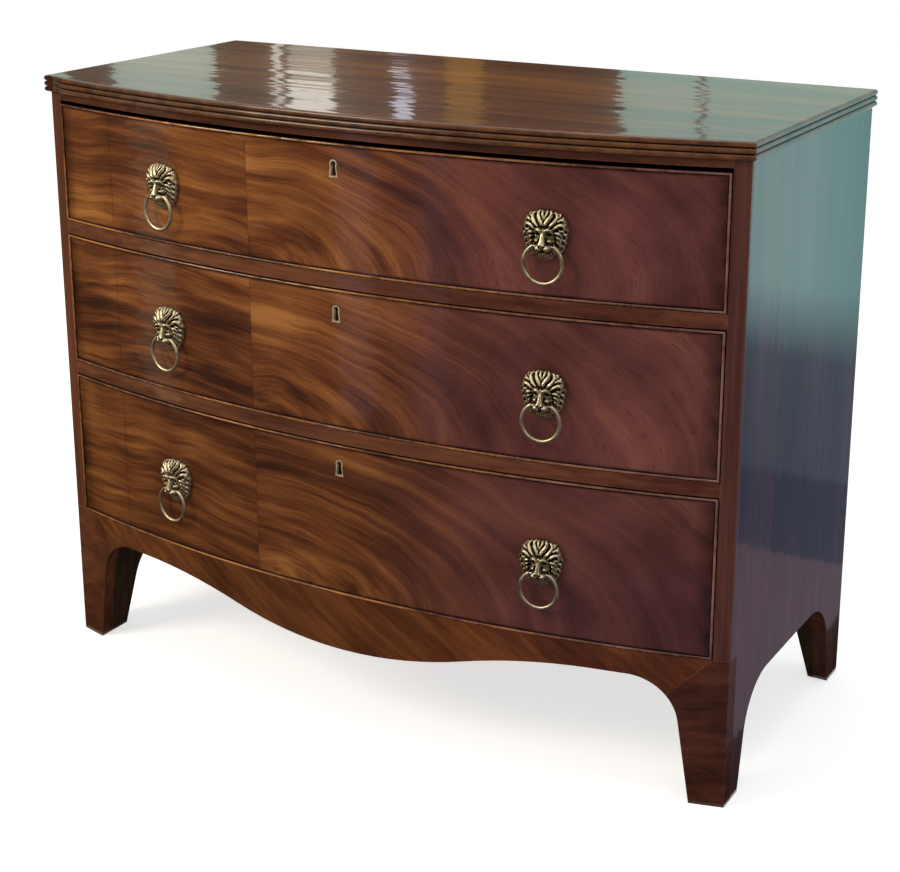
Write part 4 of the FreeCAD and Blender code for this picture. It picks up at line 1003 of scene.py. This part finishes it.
def makeLionMesh(name):
    # a polar net, denser at the edge, with a straight wall down to the wood and the post behind
    turns, rings = lion["turns"], lion["rings"]
    angles = np.linspace(0, 2 * math.pi, turns, endpoint=False)
    tries = np.linspace(*lion["reach"], lion["tries"])[:, None]
    edgeX = lion["halfWidth"] * np.cos(angles)
    edgeZ = lion["halfHeight"] * np.sin(angles)
    held = np.where(lionRelief(tries * edgeX, tries * edgeZ) > lion["lockLeast"], tries, 0.0).max(axis=0)
    cornerX, cornerZ, cornerReach = lion["beardCorner"]
    least = np.where((edgeZ < cornerZ) & (np.abs(edgeX) > cornerX), cornerReach, lion["leastReach"])
    held = np.maximum(held, least)
    held = (np.roll(held, 1) + 2 * held + np.roll(held, -1)) / 4
    share = np.linspace(0, 1, rings + 1)[1:] ** lion["crowd"]
    x = share[:, None] * held * edgeX
    z = share[:, None] * held * edgeZ
    relief = lionRelief(x, z)
    # the casting rounds every step a little
    relief = (np.roll(relief, 1, axis=1) + 2 * relief + np.roll(relief, -1, axis=1)) / 4
    relief[1:-1] = (relief[:-2] + 2 * relief[1:-1] + relief[2:]) / 4
    relief[-1] = np.minimum(relief[-1], lion["rimMost"])
    wallX, wallZ = x[-1], z[-1]
    # the back follows the bow of the drawer
    back = -(wallX ** 2) / (2 * 1000 * bowRadius)
    points = [(0.0, -float(lionRelief(np.zeros(1), np.zeros(1))[0]), 0.0)]
    for r in range(rings):
        points += [(float(x[r, t]), -float(relief[r, t]), float(z[r, t])) for t in range(turns)]
    points += [(float(wallX[t]), -float(back[t]), float(wallZ[t])) for t in range(turns)]
    faces = [(0, 1 + (t + 1) % turns, 1 + t) for t in range(turns)]
    for r in range(rings):
        a, b = 1 + r * turns, 1 + (r + 1) * turns
        faces += [(a + t, a + (t + 1) % turns, b + (t + 1) % turns, b + t) for t in range(turns)]
    reliefFaces = turns * rings
    last = 1 + rings * turns
    # the back, and the post that stands on it
    sides, thick = lion["postSides"], lion["postRadius"]
    chamfer, length = lion["postChamfer"], lion["postLength"]
    postStart = len(points)
    for radius, y in ((thick, lion["postRoot"]), (thick, length - chamfer), (thick - chamfer, length)):
        for s in range(sides):
            around = 2 * math.pi * s / sides
            points.append((radius * math.cos(around), y, radius * math.sin(around)))
    stepTurns = turns // sides
    for s in range(sides):
        ring = [last + (s * stepTurns + k) % turns for k in range(stepTurns + 1)]
        faces.append(tuple(ring) + (postStart + (s + 1) % sides, postStart + s))
    for level in range(2):
        a, b = postStart + level * sides, postStart + (level + 1) * sides
        faces += [(a + s, a + (s + 1) % sides, b + (s + 1) % sides, b + s) for s in range(sides)]
    faces.append(tuple(postStart + 2 * sides + s for s in range(sides)))
    mesh = bpy.data.meshes.new(name)
    mesh.from_pydata([(px / 1000, py / 1000, pz / 1000) for px, py, pz in points], [], faces)
    mesh.update()
    for polygon in mesh.polygons:
        polygon.use_smooth = polygon.index < reliefFaces
    return mesh


def placeLion(mesh, drawerName, side):
    low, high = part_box("drawer_front_" + drawerName)
    x = side * lion["handlePlace"]
    z = (low[2] + high[2]) / 2 - lion["handleDrop"]
    turn = math.asin(x / bowRadius)
    place = Matrix.Translation((x, bowY(x), z)) @ Matrix.Rotation(turn, 4, "Z")
    own = mesh.copy()
    own.transform(place)
    label = "lionMaskLeft_" if side < 0 else "lionMaskRight_"
    piece = newObject(label + drawerName, own)
    own.materials.append(castBrass)
    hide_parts("lion_masks_" + drawerName)
    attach(piece, "drawer_" + drawerName)


lionMesh = makeLionMesh("lionMask")
for drawerName in drawerNames:
    for side in (-1, 1):
        placeLion(lionMesh, drawerName, side)
print("lion masks chased")

scene = bpy.context.scene
scene.view_settings.view_transform = "Standard"
